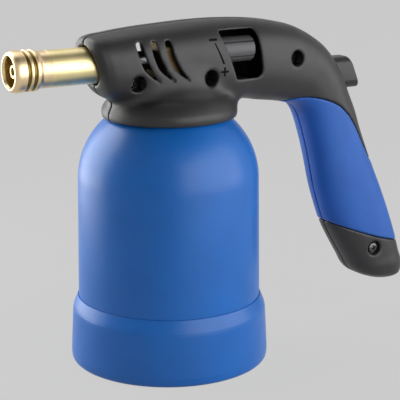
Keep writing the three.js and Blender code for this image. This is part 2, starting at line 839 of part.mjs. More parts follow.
// Cartridge: a thin can with a domed top and the hole that the needle makes
function cartridge() {
  const shoulder = (inset) => quarter(
    cartridgeFlatRadius, cartridgeTopZ - cartridgeShoulder,
    cartridgeRadius - cartridgeFlatRadius - inset, cartridgeShoulder - inset, arcSteps,
  );
  return turnedZ([
    [0, cartridgeBaseZ],
    [cartridgeRadius - cartridgeHeel, cartridgeBaseZ],
    [cartridgeRadius, cartridgeBaseZ + cartridgeHeel],
    ...shoulder(0),
    [pierceHoleRadius, cartridgeTopZ],
    [pierceHoleRadius, cartridgeTopZ - cartridgeWall],
    ...shoulder(cartridgeWall).reverse(),
    [cartridgeRadius - cartridgeWall, cartridgeBaseZ + cartridgeHeel],
    [cartridgeRadius - cartridgeHeel, cartridgeBaseZ + cartridgeWall],
    [0, cartridgeBaseZ + cartridgeWall],
  ], cartridgeSegments);
}

// Arc of the dome from the straight side to the plateau, drawn in by an inset
function domeArc(inset) {
  const radius = domeProfileRadius - inset;
  const rise = plateauZ - inset - shoulderHeight;
  const end = Math.asin(rise / radius);
  return Array.from({ length: arcSteps + 1 }, (_, k) => {
    const turn = (k / arcSteps) * end;
    return [domeCentreRadius + radius * Math.cos(turn), shoulderHeight + radius * Math.sin(turn)];
  });
}

// Upper housing: straight side, dome, and a neck with the flange that the casing grips
function housing() {
  const baseZ = bowlFloor + housingLift;
  const outside = [
    [cupLowRadius, baseZ], [cupLowRadius, bowlHeight], ...domeArc(0),
    [neckRadius, plateauZ], [neckRadius, neckFlangeZ],
    [neckFlangeRadius, neckFlangeZ], [neckFlangeRadius, neckTopZ],
  ];
  const inside = [
    [neckBore, neckTopZ], [neckBore, plateauZ - cupWall],
    ...domeArc(cupWall).reverse(),
    [cupLowRadius - cupWall, bowlHeight], [cupLowRadius - cupWall, baseZ],
  ];
  return turnedZ(closed([...outside, ...inside]), cupSegments);
}

// Piercing head: plug in the neck, flange under the dome, stem down to the cartridge
function piercingHead() {
  const flangeTop = plateauZ - cupWall - seatGap;
  const plugRadius = neckBore - seatGap;
  const plugTop = neckTopZ - injectorPlugShort;
  const stemBase = sealBaseZ + sealStandOut;
  const recess = sealRadius + seatGap;
  const needleBore = needleRadius + seatGap;
  const pipeBore = inletRadius + seatGap;
  return turnedZ(closed([
    [recess, stemBase], [injectorStemRadius, stemBase],
    [injectorStemRadius, flangeTop - injectorFlangeThickness],
    [injectorFlangeRadius, flangeTop - injectorFlangeThickness],
    [injectorFlangeRadius, flangeTop], [plugRadius, flangeTop], [plugRadius, plugTop],
    [injectorThreadRadius, plugTop], [injectorThreadRadius, threadTopZ],
    [pipeBore, threadTopZ], [pipeBore, needleTopZ + seatGap],
    [needleBore, needleTopZ + seatGap], [needleBore, sealTopZ + seatGap],
    [recess, sealTopZ + seatGap],
  ]), smallSegments);
}

function piercingNeedle() {
  return turnedZ([
    [0, needleTipZ], [needleRadius, needleTipZ + needlePoint],
    [needleRadius, needleTopZ], [0, needleTopZ],
  ], pinSegments);
}

function cartridgeSeal() {
  return turnedZ(tube(sealBore, sealRadius, sealBaseZ, sealTopZ), smallSegments);
}

// Ring nut on the thread of the piercing head, above the neck
function neckNut() {
  const bore = injectorThreadRadius + seatGap;
  return turnedZ(tube(bore, nutRadius, nutBaseZ, nutBaseZ + nutHeight), smallSegments);
}

function inletPipe() {
  const low = needleTopZ + 2 * seatGap;
  const high = blockBaseZ + inletSocketDepth - seatGap;
  return turnedZ(tube(inletBore, inletRadius, low, high), pinSegments);
}

// Valve block with its inlet socket, outlet boss, needle bore and gland boss
function valveBlock() {
  const left = valveY - blockSideWall - spindleRadius / 2;
  const shape = roundedRectangle(
    left, blockRightWidth, blockBaseZ, burnerZ + blockAboveAxis, blockCorner,
  );
  const bodyForms = [
    prismX(shape, -blockFront, blockRear),
    turnedX(rod(outletRadius, -blockFront - outletLength, 0), smallSegments, 0, burnerZ),
    turnedX(rod(glandBossRadius, 0, blockRear + glandBossLength), smallSegments, valveY, valveZ),
  ];
  const bossEnd = blockRear + glandBossLength;
  const needleBore = valveNeedleRadius + seatGap;
  const spindleBore = spindleRadius + seatGap;
  const inletBase = blockBaseZ - overrun;
  const outletFace = -blockFront - outletLength - overrun;
  const spindleSeat = spindleStart - valveNeedleBody / 2;
  const pocketFloor = bossEnd - glandPocketDepth;
  const bossFace = bossEnd + overrun;
  const cutters = [
    turnedZ(rod(inletRadius + seatGap, inletBase, blockBaseZ + inletSocketDepth), pinSegments),
    turnedZ(rod(inletBore, blockBaseZ, burnerZ), pinSegments),
    turnedX(rod(jetShankRadius + seatGap, outletFace, inletBore), pinSegments, 0, burnerZ),
    turnedX(rod(needleBore, valveNeedleFront - seatGap, spindleStart), pinSegments, valveY, valveZ),
    turnedX(rod(spindleBore, spindleSeat, bossFace), pinSegments, valveY, valveZ),
    turnedX(rod(glandPocketRadius, pocketFloor, bossFace), smallSegments, valveY, valveZ),
  ];
  return cutAll(union(bodyForms), cutters);
}

function gasJet() {
  const seat = -blockFront - outletLength - seatGap;
  const flange = seat - jetFlangeThickness;
  return turnedX([
    [0, seat + jetShankLength], [jetShankRadius, seat + jetShankLength], [jetShankRadius, seat],
    [jetFlangeRadius, seat], [jetFlangeRadius, flange],
    [jetNoseRadius, flange - jetNoseLength], [0, flange - jetNoseLength],
  ], pinSegments, 0, burnerZ);
}

// Needle that closes the valve, with the stem that the spindle draws in
function valveNeedle() {
  const shoulder = valveNeedleFront + valveNeedleTaper;
  const bodyEnd = shoulder + valveNeedleBody;
  return turnedX([
    [0, valveNeedleFront], [valveNeedleRadius, shoulder], [valveNeedleRadius, bodyEnd],
    [needleStemRadius, bodyEnd], [needleStemRadius, bodyEnd + valveNeedleStem],
    [0, bodyEnd + valveNeedleStem],
  ], pinSegments, valveY, valveZ);
}

const spindleEnd = wheelEnd - wheelPocketDepth - seatGap;

function valveSpindle() {
  const bore = rod(
    needleStemRadius + seatGap, spindleStart - overrun, spindleStart + spindleBoreLength,
  );
  const screwBore = rod(
    wheelScrewShank + seatGap, spindleEnd - wheelScrewLength, spindleEnd + overrun,
  );
  return cutAll(turnedX(rod(spindleRadius, spindleStart, spindleEnd), pinSegments, valveY, valveZ), [
    turnedX(bore, pinSegments, valveY, valveZ),
    turnedX(screwBore, pinSegments, valveY, valveZ),
  ]);
}

function spindleRing() {
  const ringRadius = spindleRadius + 1.5 * seatGap + ringTubeRadius;
  const centre = blockRear + glandBossLength - glandPocketDepth + ringTubeRadius + seatGap;
  const geometry = new THREE.TorusGeometry(ringRadius, ringTubeRadius, wireSides, pinSegments);
  return solid(geometry.rotateY(Math.PI / 2).translate(centre, valveY, valveZ));
}

function glandNut() {
  const face = blockRear + glandBossLength + seatGap;
  const bore = spindleRadius + seatGap;
  const noseLow = face - seatGap - glandNoseLength;
  const hexEnd = face + glandHexLength;
  const noseRadius = glandPocketRadius - seatGap;
  const nose = turnedX(rod(noseRadius, noseLow, face + seatGap), smallSegments, valveY, valveZ);
  const hex = turnedX(rod(glandHexRadius, face, hexEnd), hexSides, valveY, valveZ);
  const hole = turnedX(rod(bore, noseLow - overrun, hexEnd + overrun), pinSegments, valveY, valveZ);
  return union([nose, hex]).subtract(hole);
}

// Control wheel with broad round ribs and narrow grooves
function controlWheel() {
  const outline = [];
  for (let k = 0; k < wheelRibs; k += 1) {
    const middle = (2 * Math.PI * (k + wheelRestShare)) / wheelRibs;
    const halfRib = Math.PI / wheelRibs - wheelGroove / 2 / wheelRadius;
    const halfPitch = Math.PI / wheelRibs;
    const floor = wheelRadius - wheelGrooveDepth;
    const corner = (radius, turn) => new THREE.Vector2(
      valveY - radius * Math.cos(turn), valveZ + radius * Math.sin(turn),
    );
    outline.push(corner(floor, middle - halfPitch));
    outline.push(corner(wheelRadius, middle - halfRib));
    outline.push(corner(wheelRadius, middle));
    outline.push(corner(wheelRadius, middle + halfRib));
  }
  const form = prismX(new THREE.Shape(outline), wheelStart + wheelBevel, wheelEnd - wheelBevel, {
    bevelEnabled: true, bevelThickness: wheelBevel, bevelSize: wheelBevel,
    bevelOffset: -wheelBevel, bevelSegments: 1,
  });
  const bore = rod(spindleRadius + seatGap, wheelStart - overrun, wheelEnd + overrun);
  const pocket = rod(wheelPocketRadius, wheelEnd - wheelPocketDepth, wheelEnd + overrun);
  return cutAll(form, [
    turnedX(bore, pinSegments, valveY, valveZ),
    turnedX(pocket, smallSegments, valveY, valveZ),
  ]);
}

function wheelScrew() {
  const seat = spindleEnd + seatGap;
  const shankEnd = seat + seatGap;
  const shank = rod(wheelScrewShank, shankEnd - wheelScrewLength, shankEnd);
  return union([
    turnedX(rod(wheelScrewHead, seat, seat + wheelScrewHeadHeight), pinSegments, valveY, valveZ),
    turnedX(shank, pinSegments, valveY, valveZ),
  ]);
}

// Burner sleeve, closed behind but for a collar round the mixing tube and a lead-in hole
function burnerTube() {
  const bore = burnerRadius - burnerWall;
  const collarBore = mixerNeckRadius + seatGap;
  const collarRadius = collarBore + collarWall;
  const wallX = burnerRearX - burnerEndWall;
  const sleeve = turnedX(closed([
    [bore, burnerFrontX], [burnerRadius, burnerFrontX], [burnerRadius, burnerRearX],
    [collarRadius, burnerRearX], [collarRadius, burnerRearX + collarLength],
    [collarBore, burnerRearX + collarLength], [collarBore, wallX], [bore, wallX],
  ]), smallSegments, 0, burnerZ);
  const leadIn = turnedX(rod(insulatorRadius + seatGap, wallX - overrun / 2, burnerRearX + overrun / 2),
    pinSegments, electrodeOffset, burnerZ);
  return sleeve.subtract(leadIn);
}

// Mixing tube: a chamber with air holes behind, a narrow neck in front
function mixerTube() {
  const rear = -blockFront - seatGap;
  const neckBoreRadius = mixerNeckRadius - mixerWall;
  const chamberBore = mixerChamberRadius - mixerWall;
  const taperStart = mixerShoulderX - mixerShoulderLength;
  const body = turnedX(closed([
    [neckBoreRadius, mixerNeckFront], [mixerNeckRadius, mixerNeckFront],
    [mixerNeckRadius, taperStart], [mixerChamberRadius, mixerShoulderX],
    [mixerChamberRadius, rear], [chamberBore, rear],
    [chamberBore, mixerShoulderX], [neckBoreRadius, taperStart],
  ]), smallSegments, 0, burnerZ);
  const across = new THREE.CylinderGeometry(
    airHoleRadius, airHoleRadius, 4 * mixerChamberRadius, pinSegments,
  );
  return cutAll(body, [
    solid(across.clone().translate(airHoleX, 0, burnerZ)),
    solid(across.clone().rotateX(Math.PI / 2).translate(airHoleX, 0, burnerZ)),
  ]);
}

// Tip with a rounded rim, two grooves and a chamfer down to the sleeve
function burnerTip() {
  const bellyEnd = tipFrontX + tipRimLength + tipBellyLength;
  const groove = (start) => [
    [tipRadius, start], [tipRadius - grooveDepth, start + grooveBevel],
    [tipRadius - grooveDepth, start + grooveWidth - grooveBevel], [tipRadius, start + grooveWidth],
  ];
  const second = bellyEnd + grooveWidth + grooveLand;
  const shoulder = burnerFrontX - seatGap;
  const rimEnd = tipFrontX + tipRimLength;
  const rim = quarter(tipRimRadius, rimEnd, tipRadius - tipRimRadius, tipRimLength, arcSteps)
    .map(([radius, x]) => [radius, 2 * rimEnd - x]).reverse();
  const spigot = burnerRadius - burnerWall - seatGap;
  return turnedX(closed([
    [tipMouthRadius, tipFrontX], ...rim, ...groove(bellyEnd), ...groove(second),
    [tipRadius, shoulder - tipChamfer], [burnerRadius, shoulder], [spigot, shoulder],
    [spigot, shoulder + tipSpigotLength], [tipBoreRadius, shoulder + tipSpigotLength],
    [tipBoreRadius, tipFrontX + tipMouthDepth + seatGap], [tipMouthRadius, tipFrontX + tipMouthDepth],
  ]), smallSegments, 0, burnerZ);
}

// Flame nozzle: a disc with pilot holes round a central tube
function flameNozzle() {
  const discFront = tipFrontX + tipMouthDepth + 2 * seatGap;
  const front = tipFrontX + nozzleSetBack;
  const discRadius = tipBoreRadius - seatGap;
  const form = turnedX(closed([
    [nozzleBore, front], [nozzleRadius, front], [nozzleRadius, discFront],
    [discRadius, discFront], [discRadius, discFront + nozzleDiscThickness],
    [nozzleRadius, discFront + nozzleDiscThickness],
    [nozzleRadius, discFront + nozzleDiscThickness + nozzleTail],
    [nozzleBore, discFront + nozzleDiscThickness + nozzleTail],
  ]), smallSegments, 0, burnerZ);
  const ring = (nozzleRadius + discRadius) / 2;
  const holes = Array.from({ length: pilotHoles }, (_, k) => {
    const turn = (2 * Math.PI * k) / pilotHoles;
    const hole = rod(
      pilotHoleRadius, discFront - nozzleDiscThickness, discFront + 2 * nozzleDiscThickness,
    );
    return turnedX(hole, hexSides, ring * Math.cos(turn), burnerZ + ring * Math.sin(turn));
  });
  return cutAll(form, holes);
}

// Button with a leaning face and a flange that keeps it behind the opening
const buttonTopZ = buttonZ + buttonHeight / 2;
const flangeRearX = backX(buttonTopZ + buttonFlangeLip, casingWall) - buttonFlangeSetBack;
const flangeFrontX = flangeRearX - buttonFlangeThickness;

function button() {
  const halfTall = buttonHeight / 2;
  const faceX = backX(buttonZ, 0) + buttonProud;
  const stemShape = roundedRectangle(
    -buttonHalfWidth, buttonHalfWidth, buttonZ - halfTall, buttonTopZ, buttonCorner,
  );
  const side = buttonHalfWidth + buttonFlangeLip;
  const flangeShape = roundedRectangle(
    -side, side, buttonZ - halfTall - buttonFlangeLip, buttonTopZ + buttonFlangeLip, buttonCorner,
  );
  const stem = prismX(stemShape, flangeFrontX, faceX + buttonSlant * buttonHeight);
  const face = new THREE.Shape([
    new THREE.Vector2(flangeFrontX - overrun, buttonTopZ + overrun),
    new THREE.Vector2(flangeFrontX - overrun, buttonZ - halfTall - overrun),
    new THREE.Vector2(faceX + buttonSlant * (halfTall + overrun), buttonZ - halfTall - overrun),
    new THREE.Vector2(faceX - buttonSlant * (halfTall + overrun), buttonTopZ + overrun),
  ]);
  const socket = turnedX(
    rod(plungerRadius + seatGap, flangeFrontX - overrun, flangeRearX), pinSegments, 0, buttonZ,
  );
  return union([
    stem.intersect(prismY(face, -headHalfWidth, headHalfWidth)),
    prismX(flangeShape, flangeFrontX, flangeRearX),
  ]).subtract(socket);
}

// Piezo unit with the bore that its plunger slides in
const piezoRearX = flangeFrontX - buttonTravel - springSolid;
const piezoFrontX = piezoRearX - piezoLength;

function piezoBody() {
  const low = buttonZ - piezoHeight / 2;
  const high = buttonZ + piezoHeight / 2;
  const shape = roundedRectangle(-piezoHalfWidth, piezoHalfWidth, low, high, piezoCorner);
  const bore = turnedX(
    rod(plungerRadius + slideGap, piezoRearX - piezoBoreDepth, piezoRearX + overrun),
    pinSegments, 0, buttonZ,
  );
  return prismX(shape, piezoFrontX, piezoRearX).subtract(bore);
}

function piezoPlunger() {
  const high = flangeRearX - seatGap;
  return turnedX(rod(plungerRadius, piezoRearX - plungerDepth, high), pinSegments, 0, buttonZ);
}

// Least distance between points of a coil's surface that are half a turn or more apart
function leastGap(rings) {
  let least = Infinity;
  rings.forEach((ring, row) => {
    rings.slice(row + turnSteps / 2).forEach((other) => {
      ring.forEach((a) => other.forEach((b) => {
        least = Math.min(least, a.distanceTo(b));
      }));
    });
  });
  return least;
}

// Coil of the return spring, one unbroken wire with straight ends
function igniterSpring() {
  const low = piezoRearX + seatGap;
  const high = flangeFrontX - seatGap;
  const wireWide = 2 * springWire;
  const start = low + wireWide + springWire;
  const pitch = (high - low - 2 * (wireWide + springWire)) / springTurns;
  const points = [];
  for (let k = 0; k <= turnSteps * springTurns; k += 1) {
    const turn = (2 * Math.PI * k) / turnSteps;
    points.push(new THREE.Vector3(
      start + (pitch * k) / turnSteps,
      springRadius * Math.cos(turn),
      buttonZ + springRadius * Math.sin(turn),
    ));
  }
  const first = points[0].clone().setX(low);
  const last = points[points.length - 1].clone().setX(high);
  const path = [first, ...points, last];
  const rings = path.map((point, k) => {
    const before = path[Math.max(k - 1, 0)];
    const after = path[Math.min(k + 1, path.length - 1)];
    const ends = k === 0 || k === path.length - 1;
    const along = ends ? new THREE.Vector3(1, 0, 0) : after.clone().sub(before).normalize();
    const radial = new THREE.Vector3(0, point.y, point.z - buttonZ).normalize();
    const out = radial.sub(along.clone().multiplyScalar(radial.dot(along))).normalize();
    const up = along.clone().cross(out);
    return Array.from({ length: wireSides }, (_, j) => {
      const turn = (2 * Math.PI * j) / wireSides;
      return point.clone().addScaledVector(out, springWire * Math.cos(turn))
        .addScaledVector(up, springWire * Math.sin(turn));
    });
  });
  const index = [];
  for (let row = 0; row + 1 < rings.length; row += 1) {
    for (let j = 0; j < wireSides; j += 1) {
      const a = row * wireSides + j;
      const b = row * wireSides + ((j + 1) % wireSides);
      index.push(a, b, a + wireSides, b, b + wireSides, a + wireSides);
    }
  }
  const end = (rings.length - 1) * wireSides;
  for (let j = 1; j + 1 < wireSides; j += 1) {
    index.push(0, j + 1, j, end, end + j, end + j + 1);
  }
  const geometry = new THREE.BufferGeometry();
  geometry.setAttribute('position', new THREE.Float32BufferAttribute(
    rings.flat().flatMap((point) => point.toArray()), 3,
  ));
  geometry.setIndex(index);
  console.log('least gap between turns of the spring', leastGap(rings).toFixed(2), 'mm');
  return solid(geometry);
}

// Ceramic tube and spark wire, side by side with the mixing tube
function electrodeInsulator() {
  return turnedX(tube(insulatorBore, insulatorRadius, insulatorFrontX, insulatorRearX),
    pinSegments, electrodeOffset, burnerZ);
}

function electrode() {
  return turnedX(
    rod(electrodeRadius, electrodeFrontX, electrodeRearX), hexSides, electrodeOffset, burnerZ,
  );
}

// Lead from the piezo unit to the electrode, over the pillar and past the valve block
function ignitionLead() {
  const startX = piezoFrontX - seatGap;
  const endX = electrodeRearX + seatGap;
  const flank = headHalfWidth - casingWall - 3 * leadRadius;
  const clearZ = burnerZ - leadRadius;
  const route = new THREE.CatmullRomCurve3([
    new THREE.Vector3(startX, 0, buttonZ),
    new THREE.Vector3(startX - leadEndRun, 0, buttonZ),
    ...leadShares.map(([x, y, z]) => new THREE.Vector3(
      x < 0 ? -x * endX : x * startX, y * flank, buttonZ + z * (clearZ - buttonZ),
    )),
    new THREE.Vector3(endX + leadEndRun, electrodeOffset + leadRadius / 2, burnerZ),
    new THREE.Vector3(endX, electrodeOffset, burnerZ),
  ]);
  const section = new THREE.Shape();
  section.absarc(0, 0, leadRadius, 0, 2 * Math.PI);
  return solid(new THREE.ExtrudeGeometry(section, {
    steps: leadSteps, curveSegments: leadSides, extrudePath: route, bevelEnabled: false,
  }));
}

// The torch, piece by piece
const torch = new THREE.Group();

const cup = new THREE.Group();
cup.add(meshOf('base_bowl', bowl(), bluePlastic));
cup.add(meshOf('gas_cartridge', cartridge(), paintedTin));
cup.add(meshOf('housing_body', housing(), bluePlastic));

const injector = new THREE.Group();
injector.add(meshOf('piercing_head', piercingHead(), brass));
injector.add(meshOf('piercing_needle', piercingNeedle(), steel));
injector.add(meshOf('cartridge_seal', cartridgeSeal(), rubber));
injector.add(meshOf('neck_nut', neckNut(), steel));
injector.add(meshOf('inlet_pipe', inletPipe(), brass));

const valve = new THREE.Group();
valve.add(meshOf('valve_block', valveBlock(), brass));
valve.add(meshOf('gas_jet', gasJet(), brass));
valve.add(meshOf('valve_needle', valveNeedle(), steel));
valve.add(meshOf('valve_spindle', valveSpindle(), steel));
valve.add(meshOf('spindle_seal', spindleRing(), rubber));
valve.add(meshOf('gland_nut', glandNut(), brass));
valve.add(meshOf('control_wheel', controlWheel(), blackPlastic));
valve.add(meshOf('wheel_screw', wheelScrew(), steel));

const burner = new THREE.Group();
burner.add(meshOf('burner_tube', burnerTube(), brass));
burner.add(meshOf('mixer_tube', mixerTube(), steel));
burner.add(meshOf('burner_tip', burnerTip(), brass));
burner.add(meshOf('flame_nozzle', flameNozzle(), brass));

const igniter = new THREE.Group();
igniter.add(meshOf('igniter_button', button(), blackGloss));
igniter.add(meshOf('piezo_body', piezoBody(), blackPlastic));
igniter.add(meshOf('piezo_plunger', piezoPlunger(), steel));
igniter.add(meshOf('igniter_spring', igniterSpring(), steel));
igniter.add(meshOf('electrode_insulator', electrodeInsulator(), ceramic));
igniter.add(meshOf('electrode', electrode(), steel));
igniter.add(meshOf('ignition_lead', ignitionLead(), darkInsulation));

const casing = new THREE.Group();
casing.add(meshOf('left_casing', casingHalf(-1), blackPlastic));
casing.add(meshOf('right_casing', casingHalf(1), blackPlastic));
casing.add(meshOf('left_grip', gripHalf(-1), bluePlastic));
casing.add(meshOf('right_grip', gripHalf(1), bluePlastic));
screwPlaces.forEach((place, k) => {
  casing.add(meshOf(`casing_screw_${k + 1}`, casingScrew(place), steel));
});

torch.add(cup, injector, valve, burner, igniter, casing);

export default torch;
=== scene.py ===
import math
import bmesh
import bpy
import numpy as np
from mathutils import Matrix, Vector


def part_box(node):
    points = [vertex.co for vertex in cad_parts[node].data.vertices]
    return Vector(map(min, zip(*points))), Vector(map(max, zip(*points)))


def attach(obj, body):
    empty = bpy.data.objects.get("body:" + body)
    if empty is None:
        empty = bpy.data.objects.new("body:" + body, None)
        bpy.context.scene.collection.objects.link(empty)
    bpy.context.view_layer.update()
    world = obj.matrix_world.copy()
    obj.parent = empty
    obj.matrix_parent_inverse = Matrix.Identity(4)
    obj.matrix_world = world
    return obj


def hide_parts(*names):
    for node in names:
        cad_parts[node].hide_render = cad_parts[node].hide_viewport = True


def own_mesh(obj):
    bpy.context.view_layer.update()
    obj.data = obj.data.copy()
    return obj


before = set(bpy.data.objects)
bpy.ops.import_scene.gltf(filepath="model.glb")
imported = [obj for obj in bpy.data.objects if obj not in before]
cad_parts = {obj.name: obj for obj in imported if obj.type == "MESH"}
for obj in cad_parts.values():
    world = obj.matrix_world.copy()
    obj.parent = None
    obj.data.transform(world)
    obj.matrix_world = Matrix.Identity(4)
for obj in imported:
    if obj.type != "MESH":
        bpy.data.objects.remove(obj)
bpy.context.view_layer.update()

# A cartridge soldering torch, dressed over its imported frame.
# Shapes are worked out in millimetres: +Z up, the burner points to -X, the handle is at +X.
mm = 0.001

places = {
    "burnerZ": 159.67,
    "valveY": -10.9,
    "valveZ": 163.37,
    "plateauZ": 131.67,
    "deckUnderZ": 138.97,
    "deckTopZ": 140.97,
    "skirtBottomZ": 130.07,
    "buttonZ": 144.02,
    "noseReach": 50.2,
    "rearReach": 153.5,
    "headRise": 39.8,
    "handleDrop": 119.6,
    # X, Z and depth of each well's floor behind the parting
    "screws": [(-25.9, 150.87, 8.4), (14.5, 150.87, 8.4), (68.4, 156.6, 8.4),
               (125.56, 43.29, 11.4)],
}

# Y and Z of the lines along X that the pieces are turned about
burnerAxis = (0, places["burnerZ"])
valveAxis = (places["valveY"], places["valveZ"])
buttonAxis = (0, places["buttonZ"])

drawing = {
    "sharpAngle": 38,  # degrees between two faces, past which their edge is drawn sharp
    "mergeDistance": 2e-6,
    "leastEdge": 1e-7,
    "leastTurn": 0.03,  # radians: a flatter corner is left as it is
    "sideShare": 0.47,  # the most of a side that the arc at its end takes
    "arcStep": 16,  # degrees from one point of an arc to the next
    "hold": 0.22,  # from the end of a straight run to the point that keeps it flat
}


def placeX(share):
    # Shares of the casing's reach to the front and rear, and below of its rise and drop.
    return share * np.where(np.asarray(share) < 0, places["noseReach"], places["rearReach"])


def placeZ(share):
    reach = np.where(np.asarray(share) < 0, places["handleDrop"], places["headRise"])
    return places["deckUnderZ"] + share * reach


def turnsAround(count):
    # Even turns round a circle. The last step comes back to the first turn, so it is left off.
    return np.linspace(0, 2 * np.pi, count, endpoint=False)


def quarterTurn(count):
    # From no turn to a quarter, with both ends.
    return np.linspace(0, np.pi / 2, count)


def meshPiece(name, points, faces, sharpAngle=0, outward=False):
    # Points in mm and faces of four corners become a closed mesh with smooth shading.
    mesh = bpy.data.meshes.new(name)
    mesh.vertices.add(len(points))
    mesh.vertices.foreach_set("co", (np.asarray(points) * mm).astype(np.float32).ravel())
    mesh.loops.add(faces.size)
    mesh.loops.foreach_set("vertex_index", faces.astype(np.int32).ravel())
    mesh.polygons.add(len(faces))
    mesh.polygons.foreach_set("loop_start", np.arange(0, faces.size, 4, dtype=np.int32))
    mesh.update(calc_edges=True)
    if outward:
        form = bmesh.new()
        form.from_mesh(mesh)
        bmesh.ops.remove_doubles(form, verts=form.verts, dist=drawing["mergeDistance"])
        bmesh.ops.dissolve_degenerate(form, edges=form.edges, dist=drawing["leastEdge"])
        bmesh.ops.recalc_face_normals(form, faces=form.faces)
        form.to_mesh(mesh)
        form.free()
    mesh.shade_smooth()
    if sharpAngle:
        mesh.set_sharp_from_angle(angle=math.radians(sharpAngle))
    piece = bpy.data.objects.new(name, mesh)
    bpy.context.scene.collection.objects.link(piece)
    return piece


def gridPiece(name, points, closed=False, sharpAngle=drawing["sharpAngle"]):
    # Rows of points make one skin: each face joins four neighbours, every row joins its own
    # ends, and on a closed form the last row joins the first.
    points = np.asarray(points)
    rows, columns = points.shape[:2]
    row = np.arange(rows if closed else rows - 1)[:, None]
    column = np.arange(columns)[None, :]
    nextRow, nextColumn = (row + 1) % rows, (column + 1) % columns
    corners = [row * columns + column, row * columns + nextColumn,
               nextRow * columns + nextColumn, nextRow * columns + column]
    faces = np.stack(np.broadcast_arrays(*corners), axis=-1).reshape(-1, 4)
    return meshPiece(name, points.reshape(-1, 3), faces, sharpAngle, outward=True)


def roundedProfile(corners, closed=False):
    # Each corner (radius, height, rounding) turns into an arc that touches both of its sides,
    # and a long straight run keeps a point near each end, so that it shades flat between them.
    spots = [np.array(corner[:2], float) for corner in corners]
    rounds = [corner[2] if len(corner) > 2 else 0 for corner in corners]
    path = []
    for n, here in enumerate(spots):
        back = spots[n - 1] - here
        ahead = spots[(n + 1) % len(spots)] - here
        backLength, aheadLength = np.hypot(*back), np.hypot(*ahead)
        atEnd = not closed and n in (0, len(spots) - 1)
        if atEnd or rounds[n] == 0:
            path.append(here[None])
            continue
        back, ahead = back / backLength, ahead / aheadLength
        turn = math.pi - math.acos(np.clip(back @ ahead, -1, 1))
        if turn < drawing["leastTurn"]:
            path.append(here[None])
            continue
        most = drawing["sideShare"] * min(backLength, aheadLength)
        touch = min(rounds[n] * math.tan(turn / 2), most)
        radius = touch / math.tan(turn / 2)
        middle = back + ahead
        centre = here + middle / np.hypot(*middle) * radius / math.cos(turn / 2)
        steps = max(2, round(turn / math.radians(drawing["arcStep"])))
        part = np.linspace(0, 1, steps + 1)[:, None]
        start, end = here + back * touch - centre, here + ahead * touch - centre
        arc = (np.sin((1 - part) * turn) * start + np.sin(part * turn) * end) / math.sin(turn)
        path.append(centre + arc)
    points = np.concatenate(path)
    last = len(points) if closed else len(points) - 1
    held = []
    for n in range(last):
        here, there = points[n], points[(n + 1) % len(points)]
        length = np.hypot(*(there - here))
        held.append(here[None])
        if length > 4 * drawing["hold"]:
            share = drawing["hold"] / length
            held.append(here + (there - here) * np.array([[share], [1 - share]]))
    if not closed:
        held.append(points[-1:])
    return np.concatenate(held)


def turnedPiece(name, corners, centre=None, segments=96, closed=False, outline=None):
    # A profile carried round a line: upright through (0, 0), or along X through centre (y, z).
    # Across and up are the radius times the cosine and sine of the turn, and an outline
    # function may change the radius with the turn, as for ribs and hexagons.
    profile = roundedProfile(corners, closed)
    turn = turnsAround(segments) if outline is None else outline["turns"]
    radius = np.repeat(profile[:, :1], len(turn), axis=1)
    if outline is not None:
        radius = outline["radius"](radius, turn[None, :])
    along = np.repeat(profile[:, 1:], len(turn), axis=1)
    across, up = radius * np.cos(turn), radius * np.sin(turn)
    if centre is None:
        points = np.stack([across, up, along], axis=-1)
    else:
        points = np.stack([along, centre[0] + across, centre[1] + up], axis=-1)
    return gridPiece(name, points, closed)


def runAlong(points, power=1):
    # From the first point to each point, the sum of the steps' lengths raised to the power.
    steps = np.linalg.norm(np.diff(points, axis=0), axis=1)
    return np.concatenate([[0], np.cumsum(steps**power)])


def curveThrough(knots, values, at):
    # Smooth curve through values at uneven knots: a cubic between each pair, whose slope at a
    # knot is the mean of the slopes on both sides, each weighted by the other side's length.
    knots, values, at = np.asarray(knots, float), np.asarray(values, float), np.asarray(at, float)
    step = np.diff(knots)
    slope = np.diff(values, axis=0) / step[:, None]
    inner = slope[:-1] * step[1:, None] + slope[1:] * step[:-1, None]
    inner = inner / (step[1:] + step[:-1])[:, None]
    slopes = np.concatenate([slope[:1], inner, slope[-1:]])
    cell = np.clip(np.searchsorted(knots, at, side="right") - 1, 0, len(step) - 1)
    width = step[cell][:, None]
    part = ((at - knots[cell])[:, None]) / width
    return (values[cell] * (2 * part**3 - 3 * part**2 + 1)
            + width * slopes[cell] * (part**3 - 2 * part**2 + part)
            + values[cell + 1] * (3 * part**2 - 2 * part**3)
            + width * slopes[cell + 1] * (part**3 - part**2))


def tubePiece(name, path, radius, sides):
    # A round section carried along a path: each point is the path's point plus the radius times
    # cosine and sine of the turn along two directions square to the path. The ends are closed.
    path = np.asarray(path, float)
    ahead = np.gradient(path, axis=0)
    ahead /= np.linalg.norm(ahead, axis=1)[:, None]
    side = np.zeros_like(path)
    carried = np.array([0.0, 0.0, 1.0])
    for n, way in enumerate(ahead):  # the side direction is handed on, so the tube never twists
        carried = carried - way * (carried @ way)
        carried /= np.linalg.norm(carried)
        side[n] = carried
    other = np.cross(ahead, side)
    turn = turnsAround(sides)
    ring = (path[:, None] + radius * np.cos(turn)[None, :, None] * side[:, None]
            + radius * np.sin(turn)[None, :, None] * other[:, None])
    caps = [np.repeat(path[n][None, None], sides, axis=1) for n in (0, -1)]
    return gridPiece(name, np.concatenate([caps[0], ring, caps[1]]), sharpAngle=60)


